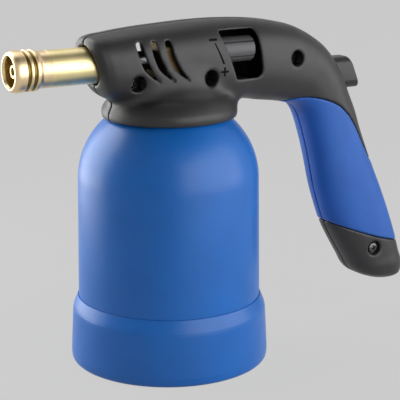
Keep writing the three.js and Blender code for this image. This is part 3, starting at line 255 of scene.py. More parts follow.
def cutFrom(piece, cutters):
    # The cutters' forms are taken out of the piece, and the cutters are dropped.
    for cutter in cutters:
        cut = piece.modifiers.new("cut", "BOOLEAN")
        cut.operation = "DIFFERENCE"
        cut.solver = "EXACT"
        cut.object = cutter
    graph = bpy.context.evaluated_depsgraph_get()
    mesh = bpy.data.meshes.new_from_object(piece.evaluated_get(graph))
    piece.modifiers.clear()
    piece.data = mesh
    mesh.shade_smooth()
    mesh.set_sharp_from_angle(angle=math.radians(drawing["sharpAngle"]))
    for cutter in cutters:
        bpy.data.objects.remove(cutter)


def plainRod(radius, low, high):
    # Profile of a rod: out from the axis, along the side and back in.
    return [(0, low), (radius, low), (radius, high), (0, high)]


def roundedBox(half, corner):
    # Outline of a rounded rectangle: a quarter turn about each corner's centre. The same turns
    # about one centre make a circle of equally many points.
    quarters = []
    for n, (sideY, sideZ) in enumerate([(1, 1), (-1, 1), (-1, -1), (1, -1)]):
        centre = np.array([sideY * (half[0] - corner), sideZ * (half[1] - corner)])
        angle = quarterTurn(9) + n * np.pi / 2
        quarters.append(centre + corner * np.stack([np.cos(angle), np.sin(angle)], axis=-1))
    return np.concatenate(quarters)


# Casing and grips: every edge is rounded in a field of distances on a grid.

casing = {
    "step": 0.69,  # spacing of the grid, which holds the left half only
    "gridX": (-53.5, 157), "gridY": (-37.3, 1.2), "gridZ": (17.5, 181.5),
    "far": 200,  # a distance that is past every side of the grid
    "stations": 150,
    "slopeLimits": (1 / 45, 1 / 7),  # of the section's size per mm
    "carryOn": 5,  # how far the sections go on past the first and last row
    "wall": 2.2,
    "handleWall": 4.2,
    "gripThickness": 1.7,
    "gripGap": 0.3,
    "gripPartingShift": 0.1,  # the skins come closer to the parting than the halves
    "squareness": 2.5,  # exponent of the rounded-square sections
    "headHalfWidth": 20,
    "handleHalfWidth": 14.4,
    "partingGap": 0.3,
    "noseRounding": 3.0,
    "footRounding": 4.5,
    # widths over which each opening's rim is rounded
    "rims": {"mouth": 1.5, "vent": 0.9, "recess": 0.7, "button": 0.8, "well": 1.5, "window": 1.5,
             "parting": 0.5, "gripEdge": 0.9, "gripBack": 0.3, "gripParting": 0.25},
    "innerInset": 0.3,  # how far plates and bosses end inside the casing's skin
    "skinDepth": 0.1,  # how far the moulded skin keeps inside the drawn form
    "collarBlend": 6,  # how wide the head flows into the collar
    "mouthRadius": 10.14,
    "mouthEndX": -37,
    "neckHoleRadius": 20.3,
    "bulkheadX": (57.1, 77.82),
    "bulkheadThickness": 1.6,
    "bulkheadUnderZ": 133.02,
    "piezoHalfY": 5.3,
    "piezoHalfZ": 5.8,
    "wellRadius": 4.0,
    "wellWall": 0.95,
    "wellFloor": 1.6,
    "bossEndY": -24,
    "pillarRadius": 3.2,
    "pilotRadius": 1.7,
    "pilotPastFloor": 1,
    "pilotPastParting": 3,
    "rightPilotY": -9.6,
    "buttonHalf": (7.75, 9.1),
    "buttonCorner": 5,
    "buttonOpeningX": 86,
    # Sections from the nose to the foot: outer edge X and Z, inner edge X and Z, half width
    "headShares": [
        (-0.974, 0.79, -0.861, 0.256, 0.58), (-0.942, 0.855, -0.821, 0.176, 0.71),
        (-0.868, 0.896, -0.749, 0.1, 0.81), (-0.737, 0.917, -0.637, 0.045, 0.88),
        (-0.478, 0.951, -0.418, 0.005, 0.945), (-0.1, 0.981, -0.1, 0.0, 0.985),
        (0.091, 1.0, 0.078, -0.003, 1.0), (0.197, 0.998, 0.19, -0.048, 1.0),
        (0.305, 0.972, 0.261, -0.028, 0.99), (0.396, 0.921, 0.335, -0.042, 0.96),
        (0.481, 0.836, 0.4, -0.054, 0.915), (0.551, 0.702, 0.449, -0.066, 0.865),
        (0.611, 0.535, 0.485, -0.079, 0.825), (0.657, 0.324, 0.509, -0.104, 0.795),
    ],
    "handleShares": [
        (0.691, 0.115, 0.525, -0.136, 1.069), (0.717, -0.036, 0.537, -0.175, 1.042),
        (0.748, -0.121, 0.552, -0.236, 1.021), (0.773, -0.209, 0.567, -0.303, 1.007),
        (0.804, -0.305, 0.582, -0.383, 1.0), (0.84, -0.41, 0.599, -0.479, 1.0),
        (0.879, -0.517, 0.624, -0.58, 1.0), (0.915, -0.627, 0.653, -0.677, 1.007),
        (0.946, -0.736, 0.693, -0.769, 1.021), (0.97, -0.838, 0.734, -0.853, 1.042),
        (0.985, -0.918, 0.764, -0.912, 1.056), (0.976, -0.962, 0.787, -0.939, 0.958),
        (0.949, -0.986, 0.823, -0.967, 0.729),
    ],
    # The grip's outline in the side view
    "gripShares": [
        (0.428, -0.062), (0.438, -0.049), (0.45, -0.044), (0.48, -0.038), (0.512, -0.0375),
        (0.538, -0.041), (0.573, -0.052), (0.613, -0.071), (0.648, -0.095), (0.691, -0.144),
        (0.726, -0.205), (0.762, -0.284), (0.801, -0.36),
        (0.853, -0.406), (1.042, -0.418), (1.042, -0.794), (0.951, -0.793), (0.909, -0.778),
        (0.83, -0.748), (0.728, -0.7), (0.645, -0.658), (0.521, -0.594), (0.391, -0.326),
    ],
    "hollowRows": (2, 24),
    "gripRow": 9,
    "backGripRow": 17,
    "outerSidePlace": 0.7,  # from here along a section its outer side's wall counts
    "bead": [(33.88, 130.07), (34.4, 132.3), (34.19, 134.52), (32.9, 136.75), (30.1, 139.97)],
    "shoulder": [(27.45, 141.97), (25.01, 144.97), (22.89, 147.97), (20.98, 150.97),
                 (19.5, 153.97)],
    "heelShift": 1.7,
    "collarTable": (58, 0.2),  # reach and spacing of the radii
    "collarPoints": 40,
    "underZ": 120,  # where the collar's hollow and neck hole start, clear below it
    "neckTopZ": 142,
    "deckRadius": 34.4,
    "hollowRadius": (27.9, 25.25),  # under and above the deck
    "vents": {"startX": -24.5, "pitch": 7.8, "count": 3, "topZ": 169.62, "height": 18, "sweep": 9.3,
              "bend": 0.58, "width": 3.3, "taperShare": 0.42, "leastShare": 0.16, "taperPower": 0.8,
              "spots": 34, "depthY": -12},
    "window": [(30.4, 148.97, 0.8), (46.06, 148.97, 3.6), (43.3, 173.67, 2.6), (21.2, 173.67, 1.0)],
    "windowDepthY": -12,
    "reliefRadius": 7.2,
    "reliefX": (21.4, 42.8),
    "inkProud": 0.1,
    "inkSunk": 0.25,
    # less, the growing line and the two bars of more, each as rows of left X, right X, Z
    "marks": [
        [(14.2, 18.7, 169.65), (14.2, 18.7, 170.7)],
        [(16.9, 17.4, 168.3), (21.1, 22.2, 157.7)],
        [(19.85, 24.45, 153.1), (19.85, 24.45, 154.1)],
        [(21.65, 22.65, 151.3), (21.65, 22.65, 155.9)],
    ],
}


def smoothMost(a, b, width):
    # The larger of two distances, with the edge where they meet rounded over the width.
    near = np.maximum(width - np.abs(a - b), 0) / width
    return np.maximum(a, b) + near * near * width / 4


def smoothLeast(a, b, width):
    # The smaller of two distances, rounded the same way.
    return -smoothMost(-a, -b, width)


def outlineDistance(outline, across, up):
    # Signed distance to a closed outline: the least distance to its sides, negative inside,
    # which is where a line to the right crosses it an odd number of times.
    outline = np.asarray(outline, float)
    least = np.full(np.broadcast(across, up).shape, np.inf)
    inside = np.zeros(least.shape, bool)
    for start, end in zip(outline, np.roll(outline, -1, axis=0)):
        side = end - start
        awayX, awayZ = across - start[0], up - start[1]
        part = np.clip((awayX * side[0] + awayZ * side[1]) / (side @ side), 0, 1)
        least = np.minimum(least, (awayX - part * side[0]) ** 2 + (awayZ - part * side[1]) ** 2)
        if start[1] != end[1]:
            crosses = (start[1] > up) != (end[1] > up)
            inside ^= crosses & (across < start[0] + (up - start[1]) * side[0] / side[1])
    return np.where(inside, -1, 1) * np.sqrt(least)


def stationCurves():
    # The casing's sections as smooth curves over the row number: outer edge, inner edge and
    # half width, carried straight on past both ends.
    head = np.array(casing["headShares"])
    hand = np.array(casing["handleShares"])
    shares = np.concatenate([head, hand])
    width = np.concatenate([head[:, 4] * casing["headHalfWidth"],
                            hand[:, 4] * casing["handleHalfWidth"]])
    rows = np.stack([placeX(shares[:, 0]), placeZ(shares[:, 1]), placeX(shares[:, 2]),
                     placeZ(shares[:, 3]), width], axis=1)
    middle = (rows[:, :2] + rows[:, 2:4]) / 2
    along = runAlong(middle)
    at = np.linspace(0, along[-1], casing["stations"])
    smooth = curveThrough(along, rows, at)
    number = np.interp(at, along, np.arange(len(rows)))
    carry = casing["carryOn"] / (at[1] - at[0])
    first = smooth[0] + (smooth[0] - smooth[1]) * carry
    last = smooth[-1] + (smooth[-1] - smooth[-2]) * carry
    first[4], last[4] = smooth[0, 4], smooth[-1, 4]
    smooth = np.concatenate([first[None], smooth, last[None]])
    number = np.concatenate([[-1], number, [len(rows)]])
    return smooth, number, rows


def sectionOf(across, up, curves, number):
    # For points of the side view: the row of the section that passes through each point, the
    # place along that section from -1 at its inner edge to 1 at its outer edge, and its half
    # width. Of several such sections the one with the nearest middle counts, and a point that
    # none passes through is placed far outside.
    none, outside = 99, 6
    outer, inner = curves[:, :2], curves[:, 2:4]
    half = (outer - inner) / 2
    middle = (outer + inner) / 2
    awayX = across.ravel()[None, :] - middle[:, :1]
    awayZ = up.ravel()[None, :] - middle[:, 1:]
    length = np.linalg.norm(half, axis=1)[:, None]
    turn = (half[:, :1] * awayZ - half[:, 1:] * awayX) / length
    place = (half[:, :1] * awayX + half[:, 1:] * awayZ) / length**2
    low, high = turn[:-1], turn[1:]
    crosses = (low > 0) != (high > 0)
    part = np.where(crosses, low / np.where(low == high, 1, low - high), 0)
    between = place[:-1] + (place[1:] - place[:-1]) * part
    cost = np.where(crosses, np.abs(between), none)
    pick = np.argmin(cost, axis=0)
    column = np.arange(cost.shape[1])
    share = part[pick, column]
    placed = np.where(cost[pick, column] < none, between[pick, column], outside)
    rowAt, widthAt = (values[pick] + (values[pick + 1] - values[pick]) * share
                      for values in (number, curves[:, 4]))
    return [result.reshape(across.shape) for result in (rowAt, placed, widthAt)]


def planeOfRow(across, up, row):
    # Distance from the line of one section, positive towards higher rows.
    outer, inner = row[:2], row[2:4]
    way = (outer - inner) / np.linalg.norm(outer - inner)
    return way[1] * (across - inner[0]) - way[0] * (up - inner[1])


def netSurface(field, low, step):
    # The surface where the field is zero: one point in each cell that it passes, at the mean of
    # its crossings of the cell's edges, and one face round each edge that it crosses.
    cells = np.array(field.shape) - 1
    quads, spots = [], []
    for axis in range(3):
        first, second = (field[tuple(part if n == axis else slice(None) for n in range(3))]
                         for part in (slice(0, -1), slice(1, None)))
        corner = np.stack(np.nonzero((first < 0) != (second < 0)), axis=1)
        a, b = (side[tuple(corner.T)].astype(float) for side in (first, second))
        spot = corner.astype(float)
        spot[:, axis] += a / (a - b)
        around = []
        for stepU, stepV in ((0, 0), (-1, 0), (-1, -1), (0, -1)):
            cell = corner.copy()
            cell[:, (axis + 1) % 3] += stepU
            cell[:, (axis + 2) % 3] += stepV
            around.append((cell[:, 0] * cells[1] + cell[:, 1]) * cells[2] + cell[:, 2])
        quad = np.stack(around, axis=1)
        quad[a > 0] = quad[a > 0][:, ::-1]
        quads.append(quad)
        spots.append(np.repeat(spot, 4, axis=0))
    spots = np.concatenate(spots)
    where = np.unique(np.concatenate(quads).ravel(), return_inverse=True)[1].ravel()
    count = np.bincount(where)
    points = np.stack([np.bincount(where, weights=spots[:, n]) / count for n in range(3)], axis=1)
    return np.asarray(low) + points * step, where.reshape(-1, 4)


def loftField(x, y, z, curves, number):
    # Squared-off ellipse of each section: the exponent's root of |place|^n + |y / width|^n is 1
    # on the surface, and that less 1, over its slope, is close to the distance in mm.
    flatX, flatZ = np.meshgrid(x, z, indexing="ij")
    row, place, width = sectionOf(flatX, flatZ, curves, number)
    power = casing["squareness"]
    inPlane = (np.abs(place) ** power).astype(np.float32)[:, None, :]
    aside = np.abs(y)[None, :, None] / width.astype(np.float32)[:, None, :]
    size = (inPlane + aside**power) ** (1 / power)
    slopes = np.gradient(size, casing["step"])
    slope = np.sqrt(slopes[0] ** 2 + slopes[1] ** 2 + slopes[2] ** 2)
    return (size - 1) / np.clip(slope, *casing["slopeLimits"]), row, place


def collarFields(x, y, z):
    # The collar is turned: its outlines' distances are worked out over radius and height once,
    # and each point of the grid takes the value at its own radius.
    bead, shoulder = np.array(casing["bead"]), np.array(casing["shoulder"])
    reach, spacing = casing["collarTable"]
    radii = np.arange(0, reach, spacing)
    radiusTable, heightTable = np.meshgrid(radii, z, indexing="ij")
    drawn = np.concatenate([bead, shoulder])
    along = runAlong(drawn)
    flare = curveThrough(along, drawn, np.linspace(0, along[-1], casing["collarPoints"]))
    inset = np.array([casing["wall"], 0])
    belowBead, aboveDeck = (bead - inset)[:-1], shoulder - inset
    under, underDeck, deck = casing["underZ"], places["deckUnderZ"], places["deckTopZ"]
    top, neckTop = shoulder[-1][1], casing["neckTopZ"]
    lowHollow, highHollow = casing["hollowRadius"]
    outlines = {
        "collar": [(0, places["skirtBottomZ"]), *flare, (0, top)],
        "below": [(0, under), (belowBead[0][0], under), *belowBead, (lowHollow, underDeck),
                  (0, underDeck)],
        "above": [(0, deck), (highHollow, deck), *aboveDeck, (0, top)],
        "deck": plainRod(casing["deckRadius"], under, deck),
        "neck": plainRod(casing["neckHoleRadius"], under, neckTop),
    }

    def carriedRound(table, shift=0):
        radius = np.hypot(x[:, None] - shift, y[None, :])
        place = np.clip(radius / spacing, 0, len(radii) - 1.001)
        index = place.astype(int)
        part = (place - index).astype(np.float32)[..., None]
        far = np.maximum(radius - radii[-1], 0).astype(np.float32)[..., None]
        return table[index] * (1 - part) + table[index + 1] * part + far

    tables = {name: outlineDistance(outline, radiusTable, heightTable).astype(np.float32)
              for name, outline in outlines.items()}
    fields = {name: carriedRound(table) for name, table in tables.items()}
    # The collar is drawn out to the rear: a second one stands a little behind the first.
    heel = carriedRound(tables["collar"], casing["heelShift"])
    fields["collar"] = np.minimum(fields["collar"], heel)
    return fields


def rodX(x, y, z, centreY, centreZ, radius, low, high):
    # Distance to a round rod along X, and the same for Y below.
    across = np.hypot(y[None, :, None] - centreY, z[None, None, :] - centreZ) - radius
    return np.maximum(across, np.maximum(low - x, x - high)[:, None, None])


def rodY(x, y, z, centreX, centreZ, radius, low, high):
    across = np.hypot(x[:, None, None] - centreX, z[None, None, :] - centreZ) - radius
    return np.maximum(across, np.maximum(low - y, y - high)[None, :, None])


def slab(x, y, z, lows, highs):
    # Distance to a box: the largest of the distances past its six sides.
    inX, inY, inZ = (np.maximum(low - axis, axis - high)
                     for axis, low, high in zip((x, y, z), lows, highs))
    return np.maximum(inX[:, None, None], np.maximum(inY[None, :, None], inZ[None, None, :]))


def ventDistance(flatX, flatZ):
    # Slot along a bent line, whose X grows with the square of the way down: the distance to the
    # line less a half width that is full over the upper part and runs out at the lower end.
    vents = casing["vents"]
    least = np.full(flatX.shape, casing["far"], float)
    part = np.linspace(0, 1, vents["spots"])
    taper = np.clip((1 - part) / vents["taperShare"], vents["leastShare"], 1)
    radius = vents["width"] / 2 * taper ** vents["taperPower"]
    for n in range(vents["count"]):
        start = vents["startX"] + n * vents["pitch"]
        lineX = start + vents["sweep"] * part**2
        lineZ = (vents["topZ"] - 2 * part * (1 - part) * vents["bend"] * vents["height"]
                 - part**2 * vents["height"])
        for spotX, spotZ, spotRadius in zip(lineX, lineZ, radius):
            least = np.minimum(least, np.hypot(flatX - spotX, flatZ - spotZ) - spotRadius)
    return least


def makeCasing():
    # The outer form is the loft joined to the collar. A hole is taken out by the larger of the
    # form's distance and the hole's with its sign turned, and each rim has its own rounding.
    x, y, z = (np.arange(*casing[side], casing["step"], dtype=np.float32)
               for side in ("gridX", "gridY", "gridZ"))
    curves, number, rows = stationCurves()
    loft, row, place = loftField(x, y, z, curves, number)
    collar = collarFields(x, y, z)
    flatX, flatZ = np.meshgrid(x, z, indexing="ij")
    far, rims, buttonZ = casing["far"], casing["rims"], places["buttonZ"]

    def flat(values):
        return values.astype(np.float32)[:, None, :]

    front = flat(-planeOfRow(flatX, flatZ, rows[0]))
    foot = flat(planeOfRow(flatX, flatZ, rows[-1]))
    head = smoothMost(loft + casing["skinDepth"], front, casing["noseRounding"])
    head = smoothMost(head, foot, casing["footRounding"])
    outer = smoothLeast(head, collar["collar"], casing["collarBlend"])

    onInnerSide = np.where(row < casing["gripRow"], casing["wall"], casing["handleWall"])
    onOuterSide = np.where(row < casing["backGripRow"], casing["wall"], casing["handleWall"])
    wall = np.where(place > casing["outerSidePlace"], onOuterSide, onInnerSide)
    firstRow, lastRow = (rows[n] for n in casing["hollowRows"])
    room = np.maximum(loft + flat(wall), flat(-planeOfRow(flatX, flatZ, firstRow)))
    room = np.maximum(room, flat(planeOfRow(flatX, flatZ, lastRow)))
    room = np.maximum(room, -collar["deck"])
    mouth = rodX(x, y, z, *burnerAxis, casing["mouthRadius"], -far, casing["mouthEndX"])
    hollow = np.minimum.reduce([room, collar["above"], collar["below"], collar["neck"]])
    shell = smoothMost(np.maximum(outer, -hollow), -mouth, rims["mouth"])

    plates = [slab(x, y, z, (low, -far, casing["bulkheadUnderZ"]),
                   (low + casing["bulkheadThickness"], far, far)) for low in casing["bulkheadX"]]
    halfY, halfZ = casing["piezoHalfY"], casing["piezoHalfZ"]
    piezo = slab(x, y, z, (0, -halfY, buttonZ - halfZ), (far, halfY, buttonZ + halfZ))
    plates = np.maximum(np.minimum(*plates), -piezo)

    ventSide = (y - casing["vents"]["depthY"])[None, :, None]
    ventSide = np.maximum(flat(ventDistance(flatX, flatZ)), ventSide)
    halfY, halfZ = casing["buttonHalf"]
    corner = casing["buttonCorner"]
    reachY = np.abs(y)[None, :, None] - (halfY - corner)
    reachZ = np.abs(z - buttonZ)[None, None, :] - (halfZ - corner)
    opening = np.hypot(np.maximum(reachY, 0), np.maximum(reachZ, 0)) - corner
    opening = np.maximum(opening, (casing["buttonOpeningX"] - x)[:, None, None])

    gripShares = np.array(casing["gripShares"])
    gripOutline = np.stack([placeX(gripShares[:, 0]), placeZ(gripShares[:, 1])], axis=1)
    gripSide = outlineDistance(gripOutline, flatX, flatZ)
    recess = np.maximum(-(loft + casing["gripThickness"] + casing["gripGap"]), flat(gripSide))
    parting = (y + casing["partingGap"] / 2)[None, :, None]

    window = outlineDistance(roundedProfile(casing["window"], True), flatX, flatZ)
    window = np.maximum(flat(window), (y - casing["windowDepthY"])[None, :, None])
    relief = rodX(x, y, z, *valveAxis, casing["reliefRadius"], *casing["reliefX"])

    pieces = {}

    def addSkin(key, name, field, side):
        # The grid holds the left half, and the right one is its mirror.
        points, faces = netSurface(field, (x[0], y[0], z[0]), casing["step"])
        if side == "right":
            points, faces = points * (1, -1, 1), faces[:, ::-1]
        pieces[side + key] = meshPiece(side + name, points, faces)
        print(side + name, len(faces), "faces")

    for side in ("left", "right"):
        bosses, wells = [], []
        for spotX, spotZ, floor in places["screws"]:
            pillarEnd, pilotEnd = casing["bossEndY"], casing["rightPilotY"]
            if side == "left":
                pillarEnd, pilotEnd = -floor, -floor - casing["pilotPastFloor"]
            bosses.append(rodY(x, y, z, spotX, spotZ, casing["pillarRadius"], pillarEnd, 0))
            wells.append(rodY(x, y, z, spotX, spotZ, casing["pilotRadius"], pilotEnd,
                              casing["pilotPastParting"]))
            if side == "left":
                bosses.append(rodY(x, y, z, spotX, spotZ, casing["wellRadius"] + casing["wellWall"],
                                   casing["bossEndY"], -floor + casing["wellFloor"]))
                wells.append(rodY(x, y, z, spotX, spotZ, casing["wellRadius"], -far, -floor))
        inner = np.minimum(plates, np.minimum.reduce(bosses))
        form = np.minimum(shell, np.maximum(inner, outer + casing["innerInset"]))
        for hole, rim in ((ventSide, "vent"), (recess, "recess"), (opening, "button"),
                          (np.minimum.reduce(wells), "well")):
            form = smoothMost(form, -hole, rims[rim])
        if side == "left":
            form = smoothMost(form, -np.minimum(window, relief), rims["window"])
        form = smoothMost(form, parting, rims["parting"])
        addSkin("Casing", "_casing_shell", form, side)

    gripArea = smoothMost(flat(gripSide) + casing["gripGap"], loft, rims["gripEdge"])
    skin = smoothMost(gripArea, -(loft + casing["gripThickness"]), rims["gripBack"])
    skin = smoothMost(skin, parting - casing["gripPartingShift"], rims["gripParting"])
    for side in ("left", "right"):
        addSkin("Grip", "_grip_skin", skin, side)
    for n, mark in enumerate(casing["marks"], 1):
        pieces["mark%d" % n] = makeMark("flame_mark_%d" % n, mark, curves, number)
    return pieces


def makeMark(name, mark, curves, number):
    # A printed mark: its outline's rows (left X, right X, Z) are spread over the flank, whose
    # depth is the section's half width times (1 - |place|^n)^(1/n), and it stands proud by a hair.
    rows = np.array(mark)
    part = np.linspace(0, len(rows) - 1, 24)
    left, right, high = (np.interp(part, np.arange(len(rows)), column)[:, None]
                         for column in rows.T)
    share = np.linspace(0, 1, 9)[None, :]
    across = left + (right - left) * share
    up = np.broadcast_to(high, across.shape).copy()
    place, width = sectionOf(across, up, curves, number)[1:]
    power = casing["squareness"]
    depth = -width * (1 - np.abs(place) ** power) ** (1 / power)
    front = np.stack([across, depth - casing["inkProud"], up], axis=-1)
    back = np.stack([across, depth + casing["inkSunk"], up], axis=-1)[:, ::-1]
    ring = np.concatenate([front, back], axis=1)
    ends = [np.broadcast_to(ring[n].mean(axis=0), ring[n].shape)[None] for n in (0, -1)]
    return gridPiece(name, np.concatenate([ends[0], ring, ends[1]]), sharpAngle=60)


def linear(code):
    # sRGB hex value to linear light: the curve's straight foot, or its power above it.
    parts = [int(code[n:n + 2], 16) / 255 for n in (0, 2, 4)]
    return (*(c / 12.92 if c <= 0.04045 else ((c + 0.055) / 1.055) ** 2.4 for c in parts), 1.0)


def addNode(tree, kind, inputs=None, output=None, **settings):
    # Adds a node with its settings, fills or links its inputs, and hands on one of its outputs.
    node = tree.nodes.new(kind)
    for key, value in settings.items():
        setattr(node, key, value)
    for key, value in (inputs or {}).items():
        if isinstance(value, bpy.types.NodeSocket):
            tree.links.new(value, node.inputs[key])
        else:
            node.inputs[key].default_value = value
    return node if output is None else node.outputs[output]


pattern = {
    "noise": (0.3, 0.7),  # full swing of the noise
    "plasticEdgeHighlight": (0.52, 0.62), "metalEdgeHighlight": (0.52, 0.64),  # pointiness where the painted highlight on convex edges starts and is full
    # share of the painted highlight's brighter tone on metal edges
    "metalEdgeShare": 0.5,
    "plasticDetails": {"cloudSize": 3, "fleckSize": 1, "rubSize": 4, "grainSize": 2},
    "metalCloudDetail": 4, "lineDetail": 2,
    "sheenRoughness": 0.5, "glazeRoughness": 0.2, "lacquerRoughness": 0.15,
}


def startMaterial(name):
    # An empty node tree, and the piece's own coordinates, which every pattern reads.
    material = bpy.data.materials.new(name)
    material.use_nodes = True
    tree = material.node_tree
    tree.nodes.clear()
    return material, tree, addNode(tree, "ShaderNodeTexCoord", output="Object")


def spreadNoises(tree, noises):
    # Each noise runs from its low to its high value over its full swing.
    least, most = pattern["noise"]
    return {key: addNode(tree, "ShaderNodeMapRange", {
        "Value": noise, "From Min": least, "From Max": most,
        "To Min": low, "To Max": high}, "Result") for key, (noise, low, high) in noises.items()}


def layTones(tree, values, layers, edgeSpan, edgeShare):
    # The shade comes first, each layer's colour over it by its share, and last a lighter tone on
    # convex edges found by pointiness: a painted highlight.
    bend = addNode(tree, "ShaderNodeNewGeometry", output="Pointiness")
    atEdge = addNode(tree, "ShaderNodeMapRange", {
        "Value": bend, "From Min": edgeSpan[0], "From Max": edgeSpan[1], "To Min": 0,
        "To Max": edgeShare}, "Result")
    tone = linear(values["shade"])
    for key, share in {**layers, "edge": atEdge}.items():
        tone = addNode(tree, "ShaderNodeMix", {
            "Factor": share, 6: tone, 7: linear(values[key])}, 2, data_type="RGBA")
    return tone


def finishSurface(tree, tone, roughness, relief, strength, depth, gloss):
    # The relief lifts the surface by up to the depth, and the shader takes what is given.
    bump = addNode(tree, "ShaderNodeBump", {
        "Strength": strength, "Distance": depth * mm, "Height": relief}, "Normal")
    shader = addNode(tree, "ShaderNodeBsdfPrincipled", {
        "Base Color": tone, "Roughness": roughness, "Normal": bump, **gloss}, "BSDF")
    addNode(tree, "ShaderNodeOutputMaterial", {"Surface": shader})


def mouldedPlastic(name, values):
    # Moulded plastic: a fine spark-eroded grain breaks up the gloss, the colour clouds very
    # slightly over tens of millimetres, handling leaves patches a little smoother, and the
    # outer edges take a lighter tone: a painted highlight. Real grain is finer: it is drawn to
    # show.
    material, tree, place = startMaterial(name)
    noises = {key: addNode(tree, "ShaderNodeTexNoise", {
        "Vector": place, "Scale": 1 / (values[key] * mm), "Detail": detail}, "Fac")
        for key, detail in pattern["plasticDetails"].items()}
    roughness, rub = values["roughness"], values["rub"]
    spread = spreadNoises(tree, {
        "cloud": (noises["cloudSize"], 0, 1),
        "fleck": (noises["fleckSize"], 0, values["fleckShare"]),
        "rub": (noises["rubSize"], roughness - rub, roughness + rub)})
    tone = layTones(tree, values, {"colour": spread["cloud"], "fleck": spread["fleck"]},
                    pattern["plasticEdgeHighlight"], values["edgeShare"])
    gloss = {"IOR": values["ior"], "Specular IOR Level": values["specular"],
             "Sheen Weight": values.get("sheen", 0), "Sheen Roughness": pattern["sheenRoughness"],
             "Coat Weight": values.get("coat", 0), "Coat Roughness": pattern["glazeRoughness"]}
    finishSurface(tree, tone, spread["rub"], noises["grainSize"], values["grainStrength"],
                  values["grainDepth"], gloss)
    return material


# Every finish by its colours (sRGB hex), the sizes of its patterns in mm and its gloss. Its edge
# colour is a highlight painted on convex edges.
plasticValues = {
    # Polypropylene, injection moulded: satin skin, even blue, faint clouding
    "mouldedPolypropylene": {
        "colour": "1067BE", "shade": "0D60B5", "fleck": "2474C6", "fleckSize": 0.9,
        "fleckShare": 0.10, "edge": "3F7FD0", "edgeShare": 0.25, "cloudSize": 26, "rubSize": 9,
        "rub": 0.03, "roughness": 0.36, "grainSize": 0.55, "grainDepth": 0.05,
        "grainStrength": 0.18, "ior": 1.49, "specular": 0.46,
    },
    # Thermoplastic elastomer, overmoulded: matt soft touch with a slightly coarser grain
    "softTouchElastomer": {
        "colour": "205CB2", "shade": "1C54A5", "fleck": "2E6ABA", "fleckSize": 1.0,
        "fleckShare": 0.12, "edge": "3E77C4", "edgeShare": 0.3, "cloudSize": 20, "rubSize": 7,
        "rub": 0.04, "roughness": 0.50, "grainSize": 0.6, "grainDepth": 0.06,
        "grainStrength": 0.30, "ior": 1.48, "specular": 0.42, "sheen": 0.04,
    },
    # Glass-filled nylon, injection moulded in a spark-eroded tool: dark satin with fine grain
    "glassFilledNylon": {
        "colour": "2B2A2B", "shade": "262526", "fleck": "3A393A", "fleckSize": 0.85,
        "fleckShare": 0.25, "edge": "5A5A5C", "edgeShare": 0.5, "cloudSize": 18, "rubSize": 6,
        "rub": 0.04, "roughness": 0.42, "grainSize": 0.5, "grainDepth": 0.06,
        "grainStrength": 0.32, "ior": 1.53, "specular": 0.38,
    },
    # Grey nylon, moulded: the control wheel, a shade lighter than the casing round it
    "greyNylon": {
        "colour": "525254", "shade": "4C4C4E", "fleck": "626264", "fleckSize": 0.85,
        "fleckShare": 0.2, "edge": "78787A", "edgeShare": 0.5, "cloudSize": 9, "rubSize": 4,
        "rub": 0.04, "roughness": 0.40, "grainSize": 0.5, "grainDepth": 0.05,
        "grainStrength": 0.3, "ior": 1.53, "specular": 0.4,
    },
    # ABS, moulded in a polished tool: smoother and glossier than the casing
    "polishedAbs": {
        "colour": "242425", "shade": "202021", "fleck": "2C2C2D", "fleckSize": 0.85,
        "fleckShare": 0.10, "edge": "5A5A5C", "edgeShare": 0.6, "cloudSize": 12, "rubSize": 4,
        "rub": 0.03, "roughness": 0.36, "grainSize": 0.5, "grainDepth": 0.02,
        "grainStrength": 0.06, "ior": 1.54, "specular": 0.36,
    },
    # Printing ink on the casing: flat near-black, slightly duller than the plastic under it
    "mattPrintingInk": {
        "colour": "0C0C0D", "shade": "080809", "fleck": "121213", "fleckSize": 0.6,
        "fleckShare": 0.3, "edge": "1A1A1B", "edgeShare": 0.3, "cloudSize": 3, "rubSize": 2,
        "rub": 0.04, "roughness": 0.8, "grainSize": 0.4, "grainDepth": 0.02, "grainStrength": 0.2,
        "ior": 1.5, "specular": 0.12,
    },
    # Nitrile rubber, pressed: dull black with a slight bloom
    "nitrileRubber": {
        "colour": "1B1B1C", "shade": "141415", "fleck": "2A2A2A", "fleckSize": 0.7,
        "fleckShare": 0.3, "edge": "343434", "edgeShare": 0.3, "cloudSize": 5, "rubSize": 2,
        "rub": 0.05, "roughness": 0.68, "grainSize": 0.4, "grainDepth": 0.05,
        "grainStrength": 0.4, "ior": 1.52, "specular": 0.4, "sheen": 0.08,
    },
    # Alumina, fired and glazed: creamy white with fine dark specks
    "glazedAlumina": {
        "colour": "EFEBE0", "shade": "E4DFD0", "fleck": "B9B1A0", "fleckSize": 0.6,
        "fleckShare": 0.2, "edge": "F6F3EA", "edgeShare": 0.4, "cloudSize": 4, "rubSize": 2,
        "rub": 0.03, "roughness": 0.25, "grainSize": 0.35, "grainDepth": 0.02,
        "grainStrength": 0.2, "ior": 1.6, "specular": 0.5, "coat": 0.3,
    },
    # Silicone insulation, extruded: dull black with a dusty bloom
    "extrudedSilicone": {
        "colour": "222224", "shade": "1A1A1B", "fleck": "333335", "fleckSize": 0.7,
        "fleckShare": 0.25, "edge": "3A3A3C", "edgeShare": 0.3, "cloudSize": 6, "rubSize": 2,
        "rub": 0.05, "roughness": 0.55, "grainSize": 0.4, "grainDepth": 0.03,
        "grainStrength": 0.3, "ior": 1.41, "specular": 0.45, "sheen": 0.05,
    },
}


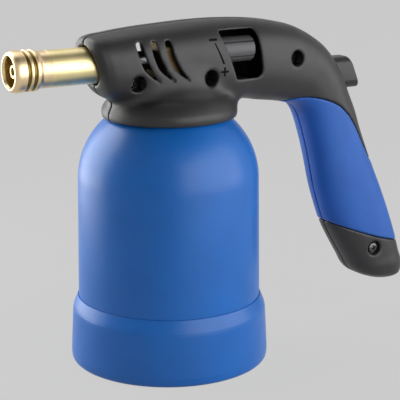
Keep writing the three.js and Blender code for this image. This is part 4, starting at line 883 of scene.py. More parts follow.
def workedMetal(name, values, tint=None):
    # Turned, drawn or plated metal: fine rings or lines follow the tool, the colour wanders a
    # little with handling and tarnish, the roughness changes from line to line, and the outer
    # edges take a brighter tone: a painted highlight. Line sizes are millimetres along X, Y and Z,
    # coarser than a real tool's lines, so that they show.
    material, tree, place = startMaterial(name)
    drawn = addNode(tree, "ShaderNodeMapping", {
        "Vector": place, "Scale": [1 / (size * mm) for size in values["lineSize"]]}, "Vector")
    lines = addNode(tree, "ShaderNodeTexNoise", {
        "Vector": drawn, "Scale": 1, "Detail": pattern["lineDetail"]}, "Fac")
    clouds = addNode(tree, "ShaderNodeTexNoise", {
        "Vector": place, "Scale": 1 / (values["cloudSize"] * mm),
        "Detail": pattern["metalCloudDetail"]}, "Fac")
    roughness, swing = values["roughness"], values["lineRough"]
    spread = spreadNoises(tree, {
        "cloud": (clouds, 0, 1), "line": (lines, 0, values["lineTone"]),
        "rough": (lines, roughness - swing, roughness + swing)})
    tone = layTones(tree, values, {"colour": spread["cloud"], "lineColour": spread["line"]},
                    pattern["metalEdgeHighlight"], pattern["metalEdgeShare"])
    if tint is not None:
        tone = tint(tree, place, tone)
    gloss = {"Metallic": values.get("metallic", 1), "Coat Weight": values.get("coat", 0),
             "Coat Roughness": pattern["lacquerRoughness"]}
    finishSurface(tree, tone, spread["rough"], lines, values["lineStrength"],
                  values["lineDepth"], gloss)
    return material


# The edge colour of each metal is a highlight painted on convex edges.
metalValues = {
    # Brass, turned and polished: pale warm yellow, rings about 0.36 mm apart round the X axis
    "turnedBrass": {
        "colour": "F3E4B2", "shade": "EAD8A0", "lineColour": "DCC486", "lineTone": 0.25,
        "edge": "FAF0CE", "cloudSize": 6, "roughness": 0.36, "lineRough": 0.04,
        "lineSize": (0.36, 8.3, 8.3), "lineDepth": 0.01, "lineStrength": 0.25,
    },
    # Forged brass of the valve block, painted a dull brown as shade, since it sits in the casing's
    # dark inside; soft sheen
    "shadeDarkenedBrass": {
        "colour": "64543A", "shade": "54452E", "lineColour": "463A28", "lineTone": 0.3,
        "edge": "8A7650", "cloudSize": 3, "roughness": 0.5, "lineRough": 0.06,
        "lineSize": (0.7, 0.7, 0.7), "lineDepth": 0.03, "lineStrength": 0.5,
    },
    # Steel tube, drawn and oiled: mid grey, painted darker than bare steel as shade inside the
    # casing, with a narrow glint
    "shadeDarkenedSteel": {
        "colour": "77797D", "shade": "65676B", "lineColour": "56585C", "lineTone": 0.3,
        "edge": "9A9CA0", "cloudSize": 4, "roughness": 0.26, "lineRough": 0.05,
        "lineSize": (6.0, 0.5, 0.5), "lineDepth": 0.01, "lineStrength": 0.3,
    },
    # Brass, turned round an upright axis and left as machined
    "machinedBrass": {
        "colour": "E2C98E", "shade": "D0B276", "lineColour": "B39256", "lineTone": 0.35,
        "edge": "F0DDAE", "cloudSize": 5, "roughness": 0.27, "lineRough": 0.06,
        "lineSize": (6.7, 6.7, 0.4), "lineDepth": 0.02, "lineStrength": 0.5,
    },
    # Steel, zinc plated: cool grey with a faint mottle
    "zincPlatedSteel": {
        "colour": "B9BDC2", "shade": "A2A7AC", "lineColour": "8C9095", "lineTone": 0.3,
        "edge": "D2D5D9", "cloudSize": 1.6, "roughness": 0.32, "lineRough": 0.07,
        "lineSize": (0.67, 0.67, 0.67), "lineDepth": 0.02, "lineStrength": 0.4,
    },
    # Steel, blackened: the heads of the casing screws
    "blackenedSteel": {
        "colour": "5B5B5E", "shade": "4A4A4C", "lineColour": "77777A", "lineTone": 0.4,
        "edge": "8E8E92", "cloudSize": 1.2, "roughness": 0.33, "lineRough": 0.07,
        "lineSize": (0.5, 0.5, 0.5), "lineDepth": 0.02, "lineStrength": 0.4,
    },
    # Tinplate, drawn and lacquered pale grey: paint over metal with a soft orange-peel
    "lacqueredTinplate": {
        "colour": "C9CCD0", "shade": "BFC3C8", "lineColour": "D4D7DA", "lineTone": 0.3,
        "edge": "E0E2E5", "cloudSize": 14, "roughness": 0.38, "lineRough": 0.05,
        "lineSize": (2.0, 2.0, 2.0), "lineDepth": 0.05, "lineStrength": 0.25, "metallic": 0.35,
        "coat": 0.5,
    },
}


def heatTint(tree, place, tone):
    # Heat has browned the inside of the tip's mouth: the tint goes by the depth behind the rim,
    # and only where the distance from the burner's axis is less than the mouth's. The two
    # grooves hold a brown film too, where the distance is less than the tip's outside.
    v = tipValues
    parts = addNode(tree, "ShaderNodeSeparateXYZ", {"Vector": place}).outputs
    upward = addNode(tree, "ShaderNodeMath", {
        0: parts["Z"], 1: places["burnerZ"] * mm}, 0, operation="SUBTRACT")
    across = addNode(tree, "ShaderNodeCombineXYZ", {"X": parts["Y"], "Y": upward}, "Vector")
    radius = addNode(tree, "ShaderNodeVectorMath", {0: across}, "Value", operation="LENGTH")
    inside = addNode(tree, "ShaderNodeMapRange", {
        "Value": radius, "From Min": (v["flare"] - v["tintBlend"]) * mm,
        "From Max": (v["flare"] + v["tintPast"]) * mm, "To Min": 1, "To Max": 0}, "Result")
    depth = addNode(tree, "ShaderNodeMapRange", {
        "Value": parts["X"], "From Min": v["front"] * mm,
        "From Max": (v["front"] + v["tintDepth"]) * mm}, "Result")
    ramp = addNode(tree, "ShaderNodeValToRGB", {"Fac": depth})
    while len(ramp.color_ramp.elements) < len(v["heatStops"]):
        ramp.color_ramp.elements.new(0.5)
    for element, (spot, code) in zip(ramp.color_ramp.elements, v["heatStops"]):
        element.position = spot
        element.color = linear(code)
    tone = addNode(tree, "ShaderNodeMix", {
        "Factor": inside, 6: tone, 7: ramp.outputs["Color"]}, 2, data_type="RGBA")
    fullFilm, noFilm = v["filmDepths"]
    low = addNode(tree, "ShaderNodeMapRange", {
        "Value": radius, "From Min": (v["radius"] - fullFilm) * mm,
        "From Max": (v["radius"] - noFilm) * mm, "To Min": 1, "To Max": 0}, "Result")
    firstGroove, lastGroove = v["grooves"][0], v["grooves"][1] + v["grooveWidth"]
    middle, reach = (firstGroove + lastGroove) / 2, (lastGroove - firstGroove) / 2 + noFilm
    near = addNode(tree, "ShaderNodeMath", {
        0: parts["X"], 1: middle * mm, 2: reach * mm}, 0, operation="COMPARE")
    film = addNode(tree, "ShaderNodeMath", {0: low, 1: near}, 0, operation="MULTIPLY")
    return addNode(tree, "ShaderNodeMix", {
        "Factor": film, 6: tone, 7: linear(v["film"])}, 2, data_type="RGBA")


# Profiles are lists of corners: radius, height (or X) and how far the corner is rounded.

bowlValues = {
    "bore": 48.12, "lowRadius": 52.3, "topRadius": 51.1, "heel": 4.2, "heelFlare": (0.25, 0.6),
    "height": 34.8, "shoulderStart": 28.4, "shoulderRounding": 10, "lip": 0.35, "floor": 3,
    "floorRounding": 1.6,
}


def makeBowl():
    # Turned: a rounded heel, a side that leans in, a slanted shoulder, and down the bore.
    v = bowlValues
    flareOut, flareUp = v["heelFlare"]
    corners = [
        (0, 0), (v["lowRadius"] - flareOut, 0, v["heel"]), (v["lowRadius"], v["heel"] + flareUp, 2),
        (v["topRadius"], v["shoulderStart"], v["shoulderRounding"]),
        (v["bore"] + v["lip"], v["height"], 0.3), (v["bore"], v["height"], 0.15),
        (v["bore"], v["floor"], v["floorRounding"]), (0, v["floor"]),
    ]
    return turnedPiece("bowl_turned", corners, segments=192)


housingValues = {
    "base": 6.3, "radius": 48.0, "straightTo": 34.8, "taperRounding": 20, "domeStart": 97,
    "domeRadius": 42, "domeCentre": 5.2, "neckRadius": 20, "neckBore": 17, "flangeRadius": 22,
    "flangeZ": 141.27, "topZ": 143.27, "wall": 1.85,
}


def makeHousing():
    # Turned: over the straight side comes a dome, whose radius is its centre's plus the dome's
    # times the cosine and whose height grows by the sine. The inside is drawn in by the wall.
    v = housingValues
    plateau, wall, radius, bore = places["plateauZ"], v["wall"], v["radius"], v["neckBore"]

    def dome(inset):
        size, start = v["domeRadius"] - inset, v["domeStart"]
        end = math.asin((plateau - inset - start) / size)
        return [(v["domeCentre"] + size * math.cos(t), start + size * math.sin(t))
                for t in np.linspace(0, end, 20)]

    outside, inside = dome(0), dome(wall)
    corners = [
        (radius, v["base"], 0.5), (radius, v["straightTo"], v["taperRounding"]),
        *outside[:-1], (*outside[-1], 0.8), (v["neckRadius"], plateau, 0.8),
        (v["neckRadius"], v["flangeZ"], 0.3), (v["flangeRadius"], v["flangeZ"], 0.3),
        (v["flangeRadius"], v["topZ"], 0.3), (bore, v["topZ"], 0.3), (bore, plateau - wall, 0.5),
        *inside[::-1], (radius - wall, v["straightTo"], v["taperRounding"]),
        (radius - wall, v["base"], 0.5),
    ]
    return turnedPiece("housing_turned", corners, segments=192, closed=True)


cartridgeValues = {
    "radius": 44.75, "low": 3.3, "high": 97.0, "wall": 0.5, "heel": 3, "shoulder": 11, "flat": 14,
    "hole": 3.4,
}


def makeCartridge():
    # Turned can: its shoulder is a quarter of an ellipse, and the inside is drawn in by the wall.
    v = cartridgeValues
    radius, low, high, wall, heel = v["radius"], v["low"], v["high"], v["wall"], v["heel"]

    def shoulder(inset):
        wide, tall = radius - v["flat"] - inset, v["shoulder"] - inset
        return [(v["flat"] + wide * math.cos(t), high - v["shoulder"] + tall * math.sin(t))
                for t in quarterTurn(16)]

    corners = [
        (0, low), (radius - heel, low, 1.2), (radius, low + heel, 1.5), *shoulder(0),
        (v["hole"], high, 0.1), (v["hole"], high - wall, 0.1), *shoulder(wall)[::-1],
        (radius - wall, low + heel, 1.2), (radius - heel, low + wall, 1), (0, low + wall),
    ]
    return turnedPiece("cartridge_can", corners, segments=144)


neckValues = {
    "piercing_head": [
        (8.6, 98.8, 0.3), (11, 98.8, 0.5), (11, 126.52, 0.8), (23, 126.52, 0.4), (23, 129.52, 0.4),
        (16.7, 129.52, 0.3), (16.7, 140.97, 0.4), (13, 140.97, 0.3), (13, 146.17, 0.5),
        (4.3, 146.17, 0.4), (4.3, 112.3), (3.3, 112.3), (3.3, 101.6, 0.1), (8.6, 101.6),
    ],
    "piercing_needle": [(0, 93), (3, 99, 0.4), (3, 112, 0.3), (0, 112)],
    "cartridge_seal": [(4, 97.3, 0.5), (8.3, 97.3, 0.6), (8.3, 101.3, 0.4), (4, 101.3, 0.4)],
    "neck_nut": [(13.3, 143.57, 0.3), (19.5, 143.57, 0.4), (19.5, 145.77, 0.5),
                 (13.3, 145.77, 0.4)],
    "inlet_pipe": [(1.5, 112.6, 0.1), (4, 112.6, 0.4), (4, 154.67, 0.4), (1.5, 154.67, 0.1)],
}


valveValues = {
    "jet": [(0, -10.3), (1.5, -10.3, 0.2), (1.5, -13.3), (3.2, -13.3, 0.3), (3.2, -14.5, 0.3),
            (0.9, -18.1, 0.3), (0, -18.1)],
    "needle": [(0, -3.6), (1.7, -0.2, 0.3), (1.7, 2.9, 0.2), (1.2, 2.9), (1.2, 9.9, 0.3), (0, 9.9)],
    "spindle": [(0, 11.9), (1.5, 11.9), (1.5, 4.4, 0.1), (2, 4.4, 0.2), (2, 38.9, 0.3),
                (1.2, 38.9, 0.1), (1.2, 32.9), (0, 32.9)],
    "ringRadius": 3.1, "ringTube": 0.65, "ringX": 10.35,
    "gland": [(2.3, 11.4, 0.2), (3.6, 11.4, 0.3), (3.6, 12.5), (4.4, 12.5, 0.3), (4.4, 16.1, 0.5),
              (2.3, 16.1, 0.3)],
    "hexAbove": 3.9,  # the gland is six-sided where its radius is more than this
    "wheelScrew": [(0, 33.5), (0.9, 33.5, 0.2), (0.9, 39.2), (2.8, 39.2, 0.2), (2.8, 40.3, 0.7),
                   (1.0, 40.6, 0.2), (0.8, 40.1), (0, 40.1)],
}

wheelValues = {
    "ribs": 5, "groove": 1.1, "grooveDepth": 1.5, "radius": 6.6,
    "restShare": 0.076,  # share of the pitch by which the rib in the window is turned at rest
    "nearSpots": [0, 0.5, 0.8, 0.92, 1.04, 1.2, 1.45],  # by the groove's half width
    "farSpots": 9,
    "wallSpan": (0.8, 1.15),  # the groove's wall runs between these, by its half width
    "grooveFrom": (4.6, 6.1),  # radii where the grooves start and have their full depth
    "profile": [(2.3, 22, 0.3), (6.6, 22, 0.6), (6.6, 42.2, 0.6), (4, 42.2, 0.4), (4, 39.2, 0.2),
                (2.3, 39.2, 0.2)],
}


def ribOutline():
    # Broad round ribs with narrow grooves between: the radius is full on a rib, and in a groove
    # a smooth step takes the groove's depth off.
    v = wheelValues
    halfPitch = math.pi / v["ribs"]
    halfGroove = v["groove"] / 2 / v["radius"]
    near = np.array(v["nearSpots"]) * halfGroove
    far = np.linspace(near[-1], halfPitch, v["farSpots"])[1:]
    one = np.concatenate([-far[:-1][::-1], -near[1:][::-1], near, far])
    first = math.pi + halfPitch - 2 * halfPitch * v["restShare"]
    turns = (first + one[None, :] + 2 * halfPitch * np.arange(v["ribs"])[:, None]).ravel()
    wallIn, wallOut = (share * halfGroove for share in v["wallSpan"])
    shallow, full = v["grooveFrom"]

    def radiusAt(radius, turn):
        fromGroove = (turn - first + halfPitch) % (2 * halfPitch) - halfPitch
        step = np.clip((wallOut - np.abs(fromGroove)) / (wallOut - wallIn), 0, 1)
        groove = v["grooveDepth"] * step * step * (3 - 2 * step)
        return radius - groove * np.clip((radius - shallow) / (full - shallow), 0, 1)

    return {"turns": turns, "radius": radiusAt}


def hexOutline():
    # Six flats: the radius at a flat's middle is that at its corner times the cosine of 30 degrees.
    def radiusAt(radius, turn):
        fromCorner = (turn - math.pi / 2) % (math.pi / 3) - math.pi / 6
        flat = math.cos(math.pi / 6) / np.cos(fromCorner)
        return np.where(radius > valveValues["hexAbove"], radius * flat, radius)

    return {"turns": turnsAround(72), "radius": radiusAt}


burnerValues = {
    "tube": [(8.14, -68.4, 0.2), (9.24, -68.4, 0.2), (9.24, -37, 0.4), (4.9, -37, 0.2),
             (4.9, -33, 0.3), (3.9, -33, 0.2), (3.9, -38.2, 0.2), (8.14, -38.2, 0.3)],
    "leadIn": (1.55, -41, -34),  # radius and ends of the hole that the electrode's tube runs in
    "mixer": [(2.6, -43, 0.2), (3.6, -43, 0.3), (3.6, -30, 1.2), (5, -28, 1.2), (5, -9.3, 0.3),
              (4, -9.3, 0.3), (4, -28, 1.2), (2.6, -30, 1.2)],
    "airHoleX": -21, "airHoleRadius": 1.7, "airHoleReach": 10,
    "nozzle": [(2.07, -85.6, 0.35), (3.3, -85.6, 0.35), (3.3, -79.2, 0.3), (6.4, -79.2, 0.3),
               (6.4, -76.2, 0.3), (3.3, -76.2, 0.3), (3.3, -72.2, 0.3), (2.07, -72.2, 0.2)],
    "pilotHoles": 8, "pilotHole": (0.6, -82, -73), "pilotRing": 4.85,
    "electrode": [(0, -56), (0.5, -56, 0.2), (0.5, -30.6, 0.1), (0, -30.6)],
    "insulator": [(0.8, -50, 0.1), (1.25, -50, 0.2), (1.25, -31.6, 0.2), (0.8, -31.6, 0.1)],
    "electrodeY": 6.5,
}
electrodeAxis = (burnerValues["electrodeY"], places["burnerZ"])

tipValues = {
    "front": -87.8, "rim": 8.5, "radius": 10.3, "rimLength": 3.4, "grooves": (-81.6, -78.3),
    "grooveDepth": 0.85, "grooveSlope": 0.5, "grooveWidth": 2.1, "ringEnd": -73.0, "chamfer": 1.9,
    "sleeveRadius": 9.24, "shoulder": -68.42,
    "mouth": 7.6, "flare": 8.15, "flareDepth": 1.3, "mouthDepth": 8, "mouthStep": 0.3,
    "bore": 6.7, "spigot": 7.84, "spigotEnd": -62.7,
    "heatStops": [(0.0, "F2DFAC"), (0.3, "E6CA8A"), (0.65, "C8A668"), (1.0, "80683C")],
    "tintDepth": 9, "tintBlend": 0.25, "tintPast": 0.05,
    # The film in the grooves, and how far under the outside it is full and gone
    "film": "75622F", "filmDepths": (0.51, 0.1),
}


def makeTip():
    # Turned: the rim swells by the sine while X runs by 1 - cosine, then come two grooves with
    # slanted sides, the ring's chamfer and the spigot, and inside it the bore and the mouth.
    v = tipValues
    radius, shoulder, bore, mouth = v["radius"], v["shoulder"], v["bore"], v["mouth"]
    rimEnd, mouthEnd = v["front"] + v["rimLength"], v["front"] + v["mouthDepth"]
    rim = [(v["rim"] + (radius - v["rim"]) * math.sin(t), rimEnd - v["rimLength"] * math.cos(t))
           for t in quarterTurn(12)]
    floor, width, slope = radius - v["grooveDepth"], v["grooveWidth"], v["grooveSlope"]
    grooves = []
    for start in v["grooves"]:
        grooves += [(radius, start, 0.25), (floor, start + slope, 0.3),
                    (floor, start + width - slope, 0.3), (radius, start + width, 0.25)]
    corners = [
        (v["flare"], v["front"], 0.1), (*rim[0], 0.1), *rim[1:], *grooves,
        (radius, v["ringEnd"] - v["chamfer"], 0.6), (v["sleeveRadius"], v["ringEnd"], 1.5),
        (v["sleeveRadius"], shoulder, 0.05), (v["spigot"], shoulder, 0.1),
        (v["spigot"], v["spigotEnd"], 0.3), (bore, v["spigotEnd"], 0.3),
        (bore, mouthEnd + v["mouthStep"], 0.2), (mouth, mouthEnd, 0.2),
        (mouth, v["front"] + v["flareDepth"], 0.6),
    ]
    return turnedPiece("burner_tip_turned", corners, burnerAxis, 160, True)


def makeNozzle():
    # Turned, and bored on a ring: a hole's place is the ring's radius times cosine and sine.
    v = burnerValues
    piece = turnedPiece("flame_nozzle_turned", v["nozzle"], burnerAxis, 96, True)
    spots = [(v["pilotRing"] * math.cos(turn), places["burnerZ"] + v["pilotRing"] * math.sin(turn))
             for turn in turnsAround(v["pilotHoles"])]
    cutFrom(piece, [turnedPiece("hole", plainRod(*v["pilotHole"]), spot, 20) for spot in spots])
    return piece


def makeMixer():
    # The air holes are two plain rods across the tube, one level and one upright.
    v = burnerValues
    piece = turnedPiece("mixer_tube_turned", v["mixer"], burnerAxis, 72, True)
    profile = np.array(plainRod(v["airHoleRadius"], -v["airHoleReach"], v["airHoleReach"]))
    turn = turnsAround(28)
    radius, along = profile[:, :1], np.repeat(profile[:, 1:], len(turn), axis=1)
    first, second = v["airHoleX"] + radius * np.cos(turn), radius * np.sin(turn)
    level = np.stack([first, along, places["burnerZ"] + second], axis=-1)
    upright = np.stack([first, second, places["burnerZ"] + along], axis=-1)
    cutFrom(piece, [gridPiece("hole", level), gridPiece("hole", upright)])
    return piece


def makeBurnerTube():
    # Turned, and bored once for the electrode's tube.
    v = burnerValues
    piece = turnedPiece("burner_tube_turned", v["tube"], burnerAxis, 144, True)
    cutFrom(piece, [turnedPiece("hole", plainRod(*v["leadIn"]), electrodeAxis, 28)])
    return piece


def makeSealRing():
    # A round tube bent to a ring: ring radius plus tube radius times cosine, along X the sine.
    v = valveValues
    turn, around = turnsAround(28)[:, None], turnsAround(72)[None, :]
    radius = v["ringRadius"] + v["ringTube"] * np.cos(turn)
    points = np.stack(np.broadcast_arrays(
        v["ringX"] + v["ringTube"] * np.sin(turn), places["valveY"] + radius * np.cos(around),
        places["valveZ"] + radius * np.sin(around)), axis=-1)
    return gridPiece("spindle_ring", points, True, 0)


buttonLow, buttonHigh = (corner * 1000 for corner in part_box("igniter_button"))

igniterValues = {
    "flangeFront": buttonLow.x, "flangeThickness": 2, "flangeLip": 1.1,
    "halfWidth": 7.4, "halfHeight": 8.75, "corner": 5, "leastCorner": 0.4, "slant": 0.4,
    "faceRounding": 1.0, "dish": 0.3, "dishRings": (0.97, 0.85, 0.65, 0.42, 0.2, 0),
    "socketRadius": 2.8, "travel": 6.5, "springRoom": 4.9, "piezoLength": 25,
    "piezoHalf": (5, 5.5), "piezoCorner": 0.9, "boreRadius": 2.85, "boreDepth": 21.5, "edge": 0.2,
    # Rounded edges: each ring's inset and how far behind the end it lies
    "flangeEdge": ((0, 0.3), (0.08, 0.08), (0.3, 0)),
    "piezoEdge": ((0, 0.4), (0.1, 0.1), (0.4, 0)),
    "plungerRadius": 2.5, "plungerDepth": 14, "plungerPast": 1.7,
    "springRadius": 3.7, "springWire": 0.4, "springTurns": 5, "springGap": 0.3,
    "pointsPerTurn": 60, "bendRounds": 12,
}
piezoRear = igniterValues["flangeFront"] - igniterValues["travel"] - igniterValues["springRoom"]
piezoFront = piezoRear - igniterValues["piezoLength"]
springLow = piezoRear + igniterValues["springGap"]
springHigh = igniterValues["flangeFront"] - igniterValues["springGap"]


def boxRing(half, corner, x):
    # A rounded rectangle about the button's axis, square to X.
    flat = roundedBox(half, corner)
    return np.stack([np.full(len(flat), x), flat[:, 0], places["buttonZ"] + flat[:, 1]], axis=-1)


def circleRing(radius, x):
    return boxRing((radius, radius), radius, x)


def edgeInsets(edge, front, rear):
    # Insets and X of the rings of a block with rounded edges, with one more ring on its front.
    return [(2 * edge[-1][0], front), *((inset, front + behind) for inset, behind in edge[::-1]),
            *((inset, rear - behind) for inset, behind in edge)]


def makeButton():
    # The stem's outline is carried to a leaning plane, whose rim is rounded by drawing the
    # outline in by 1 - cosine while it climbs by the sine, and whose middle is dished a little.
    v = igniterValues
    front, rear = v["flangeFront"], v["flangeFront"] + v["flangeThickness"]
    socket, edge = v["socketRadius"], v["edge"]
    faceX = buttonHigh.x - v["slant"] * v["halfHeight"]
    half = np.array([v["halfWidth"], v["halfHeight"]])
    lip = half + v["flangeLip"]
    rings = [circleRing(0, rear), circleRing(socket, rear), circleRing(socket, front + edge),
             circleRing(socket + edge, front)]
    rings += [boxRing(lip - inset, v["corner"], x)
              for inset, x in edgeInsets(v["flangeEdge"], front, rear)]
    rings += [boxRing(half + edge, v["corner"], rear), boxRing(half, v["corner"], rear + edge)]

    def faceRing(inset, drop, scale=1):
        flat = roundedBox(half - inset, max(v["corner"] - inset, v["leastCorner"])) * scale
        share = np.clip(np.hypot(*(flat / (half - v["faceRounding"])).T), 0, 1)
        x = faceX - v["slant"] * flat[:, 1] - drop - v["dish"] * (1 - share**2)
        return np.stack([x, flat[:, 0], places["buttonZ"] + flat[:, 1]], axis=-1)

    rings += [faceRing(v["faceRounding"] * (1 - math.cos(t)), v["faceRounding"] * (1 - math.sin(t)))
              for t in quarterTurn(9)]
    rings += [faceRing(v["faceRounding"], 0, scale) for scale in v["dishRings"]]
    return gridPiece("button_moulded", rings, sharpAngle=34)


def makePiezo():
    # Block of rounded rectangles along X, with the plunger's bore let into its rear as circles.
    v = igniterValues
    half, edge = np.array(v["piezoHalf"]), v["edge"]
    bore, boreEnd = v["boreRadius"], piezoRear - v["boreDepth"]
    rings = [boxRing(half * 0, 0, piezoFront)]
    rings += [boxRing(half - inset, v["piezoCorner"] - inset / 2, x)
              for inset, x in edgeInsets(v["piezoEdge"], piezoFront, piezoRear)]
    rings += [circleRing(bore + edge, piezoRear), circleRing(bore, piezoRear - edge),
              circleRing(bore, boreEnd), circleRing(0, boreEnd)]
    return gridPiece("piezo_case", rings, sharpAngle=34)


def makePlunger():
    # Turned about the button's axis.
    v = igniterValues
    low, high = piezoRear - v["plungerDepth"], v["flangeFront"] + v["plungerPast"]
    corners = [(0, low), (v["plungerRadius"], low, 0.4), (v["plungerRadius"], high, 0.3), (0, high)]
    return turnedPiece("piezo_plunger_turned", corners, buttonAxis, 56)


def makeSpring():
    # Coil: X grows evenly with the turn, Y and Z are the radius times cosine and sine, and the
    # wire leaves both ends straight along the axis, over bends that are rounded step by step.
    v = igniterValues
    ends = 3 * v["springWire"]
    start = springLow + ends
    pitch = (springHigh - springLow - 2 * ends) / v["springTurns"]
    turn = np.linspace(0, 2 * np.pi * v["springTurns"], v["pointsPerTurn"] * v["springTurns"] + 1)
    coil = np.stack([start + pitch * turn / (2 * np.pi), v["springRadius"] * np.cos(turn),
                     places["buttonZ"] + v["springRadius"] * np.sin(turn)], axis=-1)
    lead = np.linspace(0, 1, 8)[:-1, None]
    first = coil[0] + (springLow - start) * np.array([1, 0, 0]) * (1 - lead)
    last = coil[-1] + (springHigh - coil[-1][0]) * np.array([1, 0, 0]) * (1 - lead)[::-1]
    path = np.concatenate([first, coil, last])
    for _ in range(v["bendRounds"]):
        path[1:-1] = (path[:-2] + 2 * path[1:-1] + path[2:]) / 4
    return tubePiece("return_spring_coil", path, v["springWire"], 10)


leadValues = {
    "radius": 0.9, "piezoOverlap": 0.3, "piezoStub": 3, "endX": -30.3, "endStub": 3, "endY": 6.5,
    "stubY": 6.95, "farY": 15.1,
    # points between: share of the way along X, of farY and of the height up to the burner
    "route": [(0.72, 0.45, 0.2), (0.45, 0.95, 0.85), (0.1, 1, 1), (-0.4, 0.97, 1),
              (-0.72, 0.75, 1)],
}


def makeLead():
    # The route's points are joined by a smooth curve whose knots go by the root of the distance.
    v = leadValues
    radius, low, high = v["radius"], places["buttonZ"], places["burnerZ"]
    startX, endX = piezoFront - v["piezoOverlap"], v["endX"]
    along, aside, up = np.array(v["route"]).T
    between = np.stack([np.where(along < 0, -along * endX, along * startX), aside * v["farY"],
                        low + up * (high - radius - low)], axis=-1)
    route = np.concatenate([
        [(startX, 0, low), (startX - v["piezoStub"], 0, low)], between,
        [(endX + v["endStub"], v["stubY"], high), (endX, v["endY"], high)]])
    knots = runAlong(route, 0.5)
    path = curveThrough(knots, route, np.linspace(0, knots[-1], 120))
    return tubePiece("ignition_wire", path, radius, 16)


screwValues = {
    "head": 2.9, "headHeight": 1.9, "headGap": 0.3, "crown": 1.0, "crownShape": (0.9, 0.8),
    "shank": 1.4, "reach": 9, "tip": 0.9, "tipLength": 1.2,
    "crossDepth": 1.0, "crossArm": 0.42, "crossReach": 1.65, "armSlope": 0.14, "endSlope": 0.3,
    "crossTurn": 0.35, "fine": 2.2,  # the crown is drawn finely inside this radius
}


def makeScrew(number, spotX, spotZ, floor):
    # Pan head turned about Y: over its crown a cross is let in, as deep as the nearer of the
    # two arms' edges allows.
    v = screwValues
    under = -floor - v["headGap"]
    crown = under - v["headHeight"]
    brim = crown + v["crown"]
    stem = roundedProfile([(0, v["reach"]), (v["tip"], v["reach"], 0.2),
                           (v["shank"], v["reach"] - v["tipLength"], 0.3),
                           (v["shank"], under), (v["head"], under, 0.2), (v["head"], brim, 0.3)])
    sweep = np.linspace(0, 1, 26)[1:] * np.pi / 2
    domeRadius = v["head"] * np.cos(sweep) ** v["crownShape"][0]
    domeHeight = brim - v["crown"] * np.sin(sweep) ** v["crownShape"][1]
    fine = np.linspace(v["fine"], 0, 24)
    fineHeight = np.interp(fine, domeRadius[::-1], domeHeight[::-1])
    coarse = domeRadius > v["fine"] + 0.05
    profile = np.concatenate([stem[:-1], np.stack([domeRadius[coarse], domeHeight[coarse]], 1),
                              np.stack([fine, fineHeight], 1)])
    turn = turnsAround(120)
    radius, height = profile[:, :1], profile[:, 1:]
    armU, armV = radius * np.cos(turn), radius * np.sin(turn)
    arms = [np.clip((v["crossArm"] - np.abs(a)) / v["armSlope"], 0, 1)
            * np.clip((v["crossReach"] - np.abs(b)) / v["endSlope"], 0, 1)
            for a, b in ((armU, armV), (armV, armU))]
    onCrown = (np.arange(len(profile)) >= len(profile) - len(fine))[:, None]
    depth = np.where(onCrown, v["crossDepth"] * np.maximum(*arms), 0)
    points = np.stack([spotX + radius * np.cos(turn + v["crossTurn"]), height + depth,
                       spotZ + radius * np.sin(turn + v["crossTurn"])], axis=-1)
    return gridPiece("casing_screw_head_%d" % number, points)


def dress(stage, rows):
    # Rows: the piece, the body it rides, the node it stands for, its slot and its material.
    for piece, body, node, slotName, material in rows:
        piece.data.materials.clear()
        piece.data.materials.append(material)
        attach(piece, body)
        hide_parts(node)
    print(stage, "ready")


plastics = {name: mouldedPlastic(name, values) for name, values in plasticValues.items()}
metals = {name: workedMetal(name, values) for name, values in metalValues.items()}
# The tip's brass is browned all over by use.
tipBrass = {**metalValues["turnedBrass"],
            "colour": "F3DCB2", "shade": "E9CEA2", "lineColour": "D8B88A"}
tintedBrass = workedMetal("heatTintedBrass", tipBrass, heatTint)
bluePlastic, blackPlastic = plastics["mouldedPolypropylene"], plastics["glassFilledNylon"]
rubber, steel, brass = plastics["nitrileRubber"], metals["zincPlatedSteel"], metals["turnedBrass"]
print("materials ready")

dress("cup", [
    (makeBowl(), "base", "base_bowl", "cup_plastic", bluePlastic),
    (makeCartridge(), "cartridge", "gas_cartridge", "painted_tin", metals["lacqueredTinplate"]),
    (makeHousing(), "head", "housing_body", "cup_plastic", bluePlastic),
])
machined = metals["machinedBrass"]
dress("neck", [
    (turnedPiece(node + "_turned", neckValues[node], closed=closed), "head", node, *finish)
    for node, closed, *finish in (
        ("piercing_head", True, "brass", machined), ("piercing_needle", False, "steel", steel),
        ("cartridge_seal", True, "seal_rubber", rubber), ("neck_nut", True, "steel", steel),
        ("inlet_pipe", True, "brass", machined))
])

dress("valve", [
    (turnedPiece("gas_jet_turned", valveValues["jet"], burnerAxis, 48),
     "head", "gas_jet", "brass", brass),
    (turnedPiece("valve_needle_turned", valveValues["needle"], valveAxis, 48),
     "needle", "valve_needle", "steel", steel),
    (turnedPiece("valve_spindle_turned", valveValues["spindle"], valveAxis, 56),
     "wheel", "valve_spindle", "steel", steel),
    (makeSealRing(), "head", "spindle_seal", "seal_rubber", rubber),
    (turnedPiece("gland_nut_turned", valveValues["gland"], valveAxis, 72, True, hexOutline()),
     "head", "gland_nut", "brass", brass),
    (turnedPiece("wheel_screw_turned", valveValues["wheelScrew"], valveAxis, 56),
     "wheel", "wheel_screw", "steel", steel),
    (turnedPiece("control_wheel_ribbed", wheelValues["profile"], valveAxis, 96, True, ribOutline()),
     "wheel", "control_wheel", "casing_plastic", plastics["greyNylon"]),
])
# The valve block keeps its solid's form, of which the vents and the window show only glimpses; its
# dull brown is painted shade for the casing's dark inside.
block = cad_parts["valve_block"]
block.data.materials.clear()
block.data.materials.append(metals["shadeDarkenedBrass"])

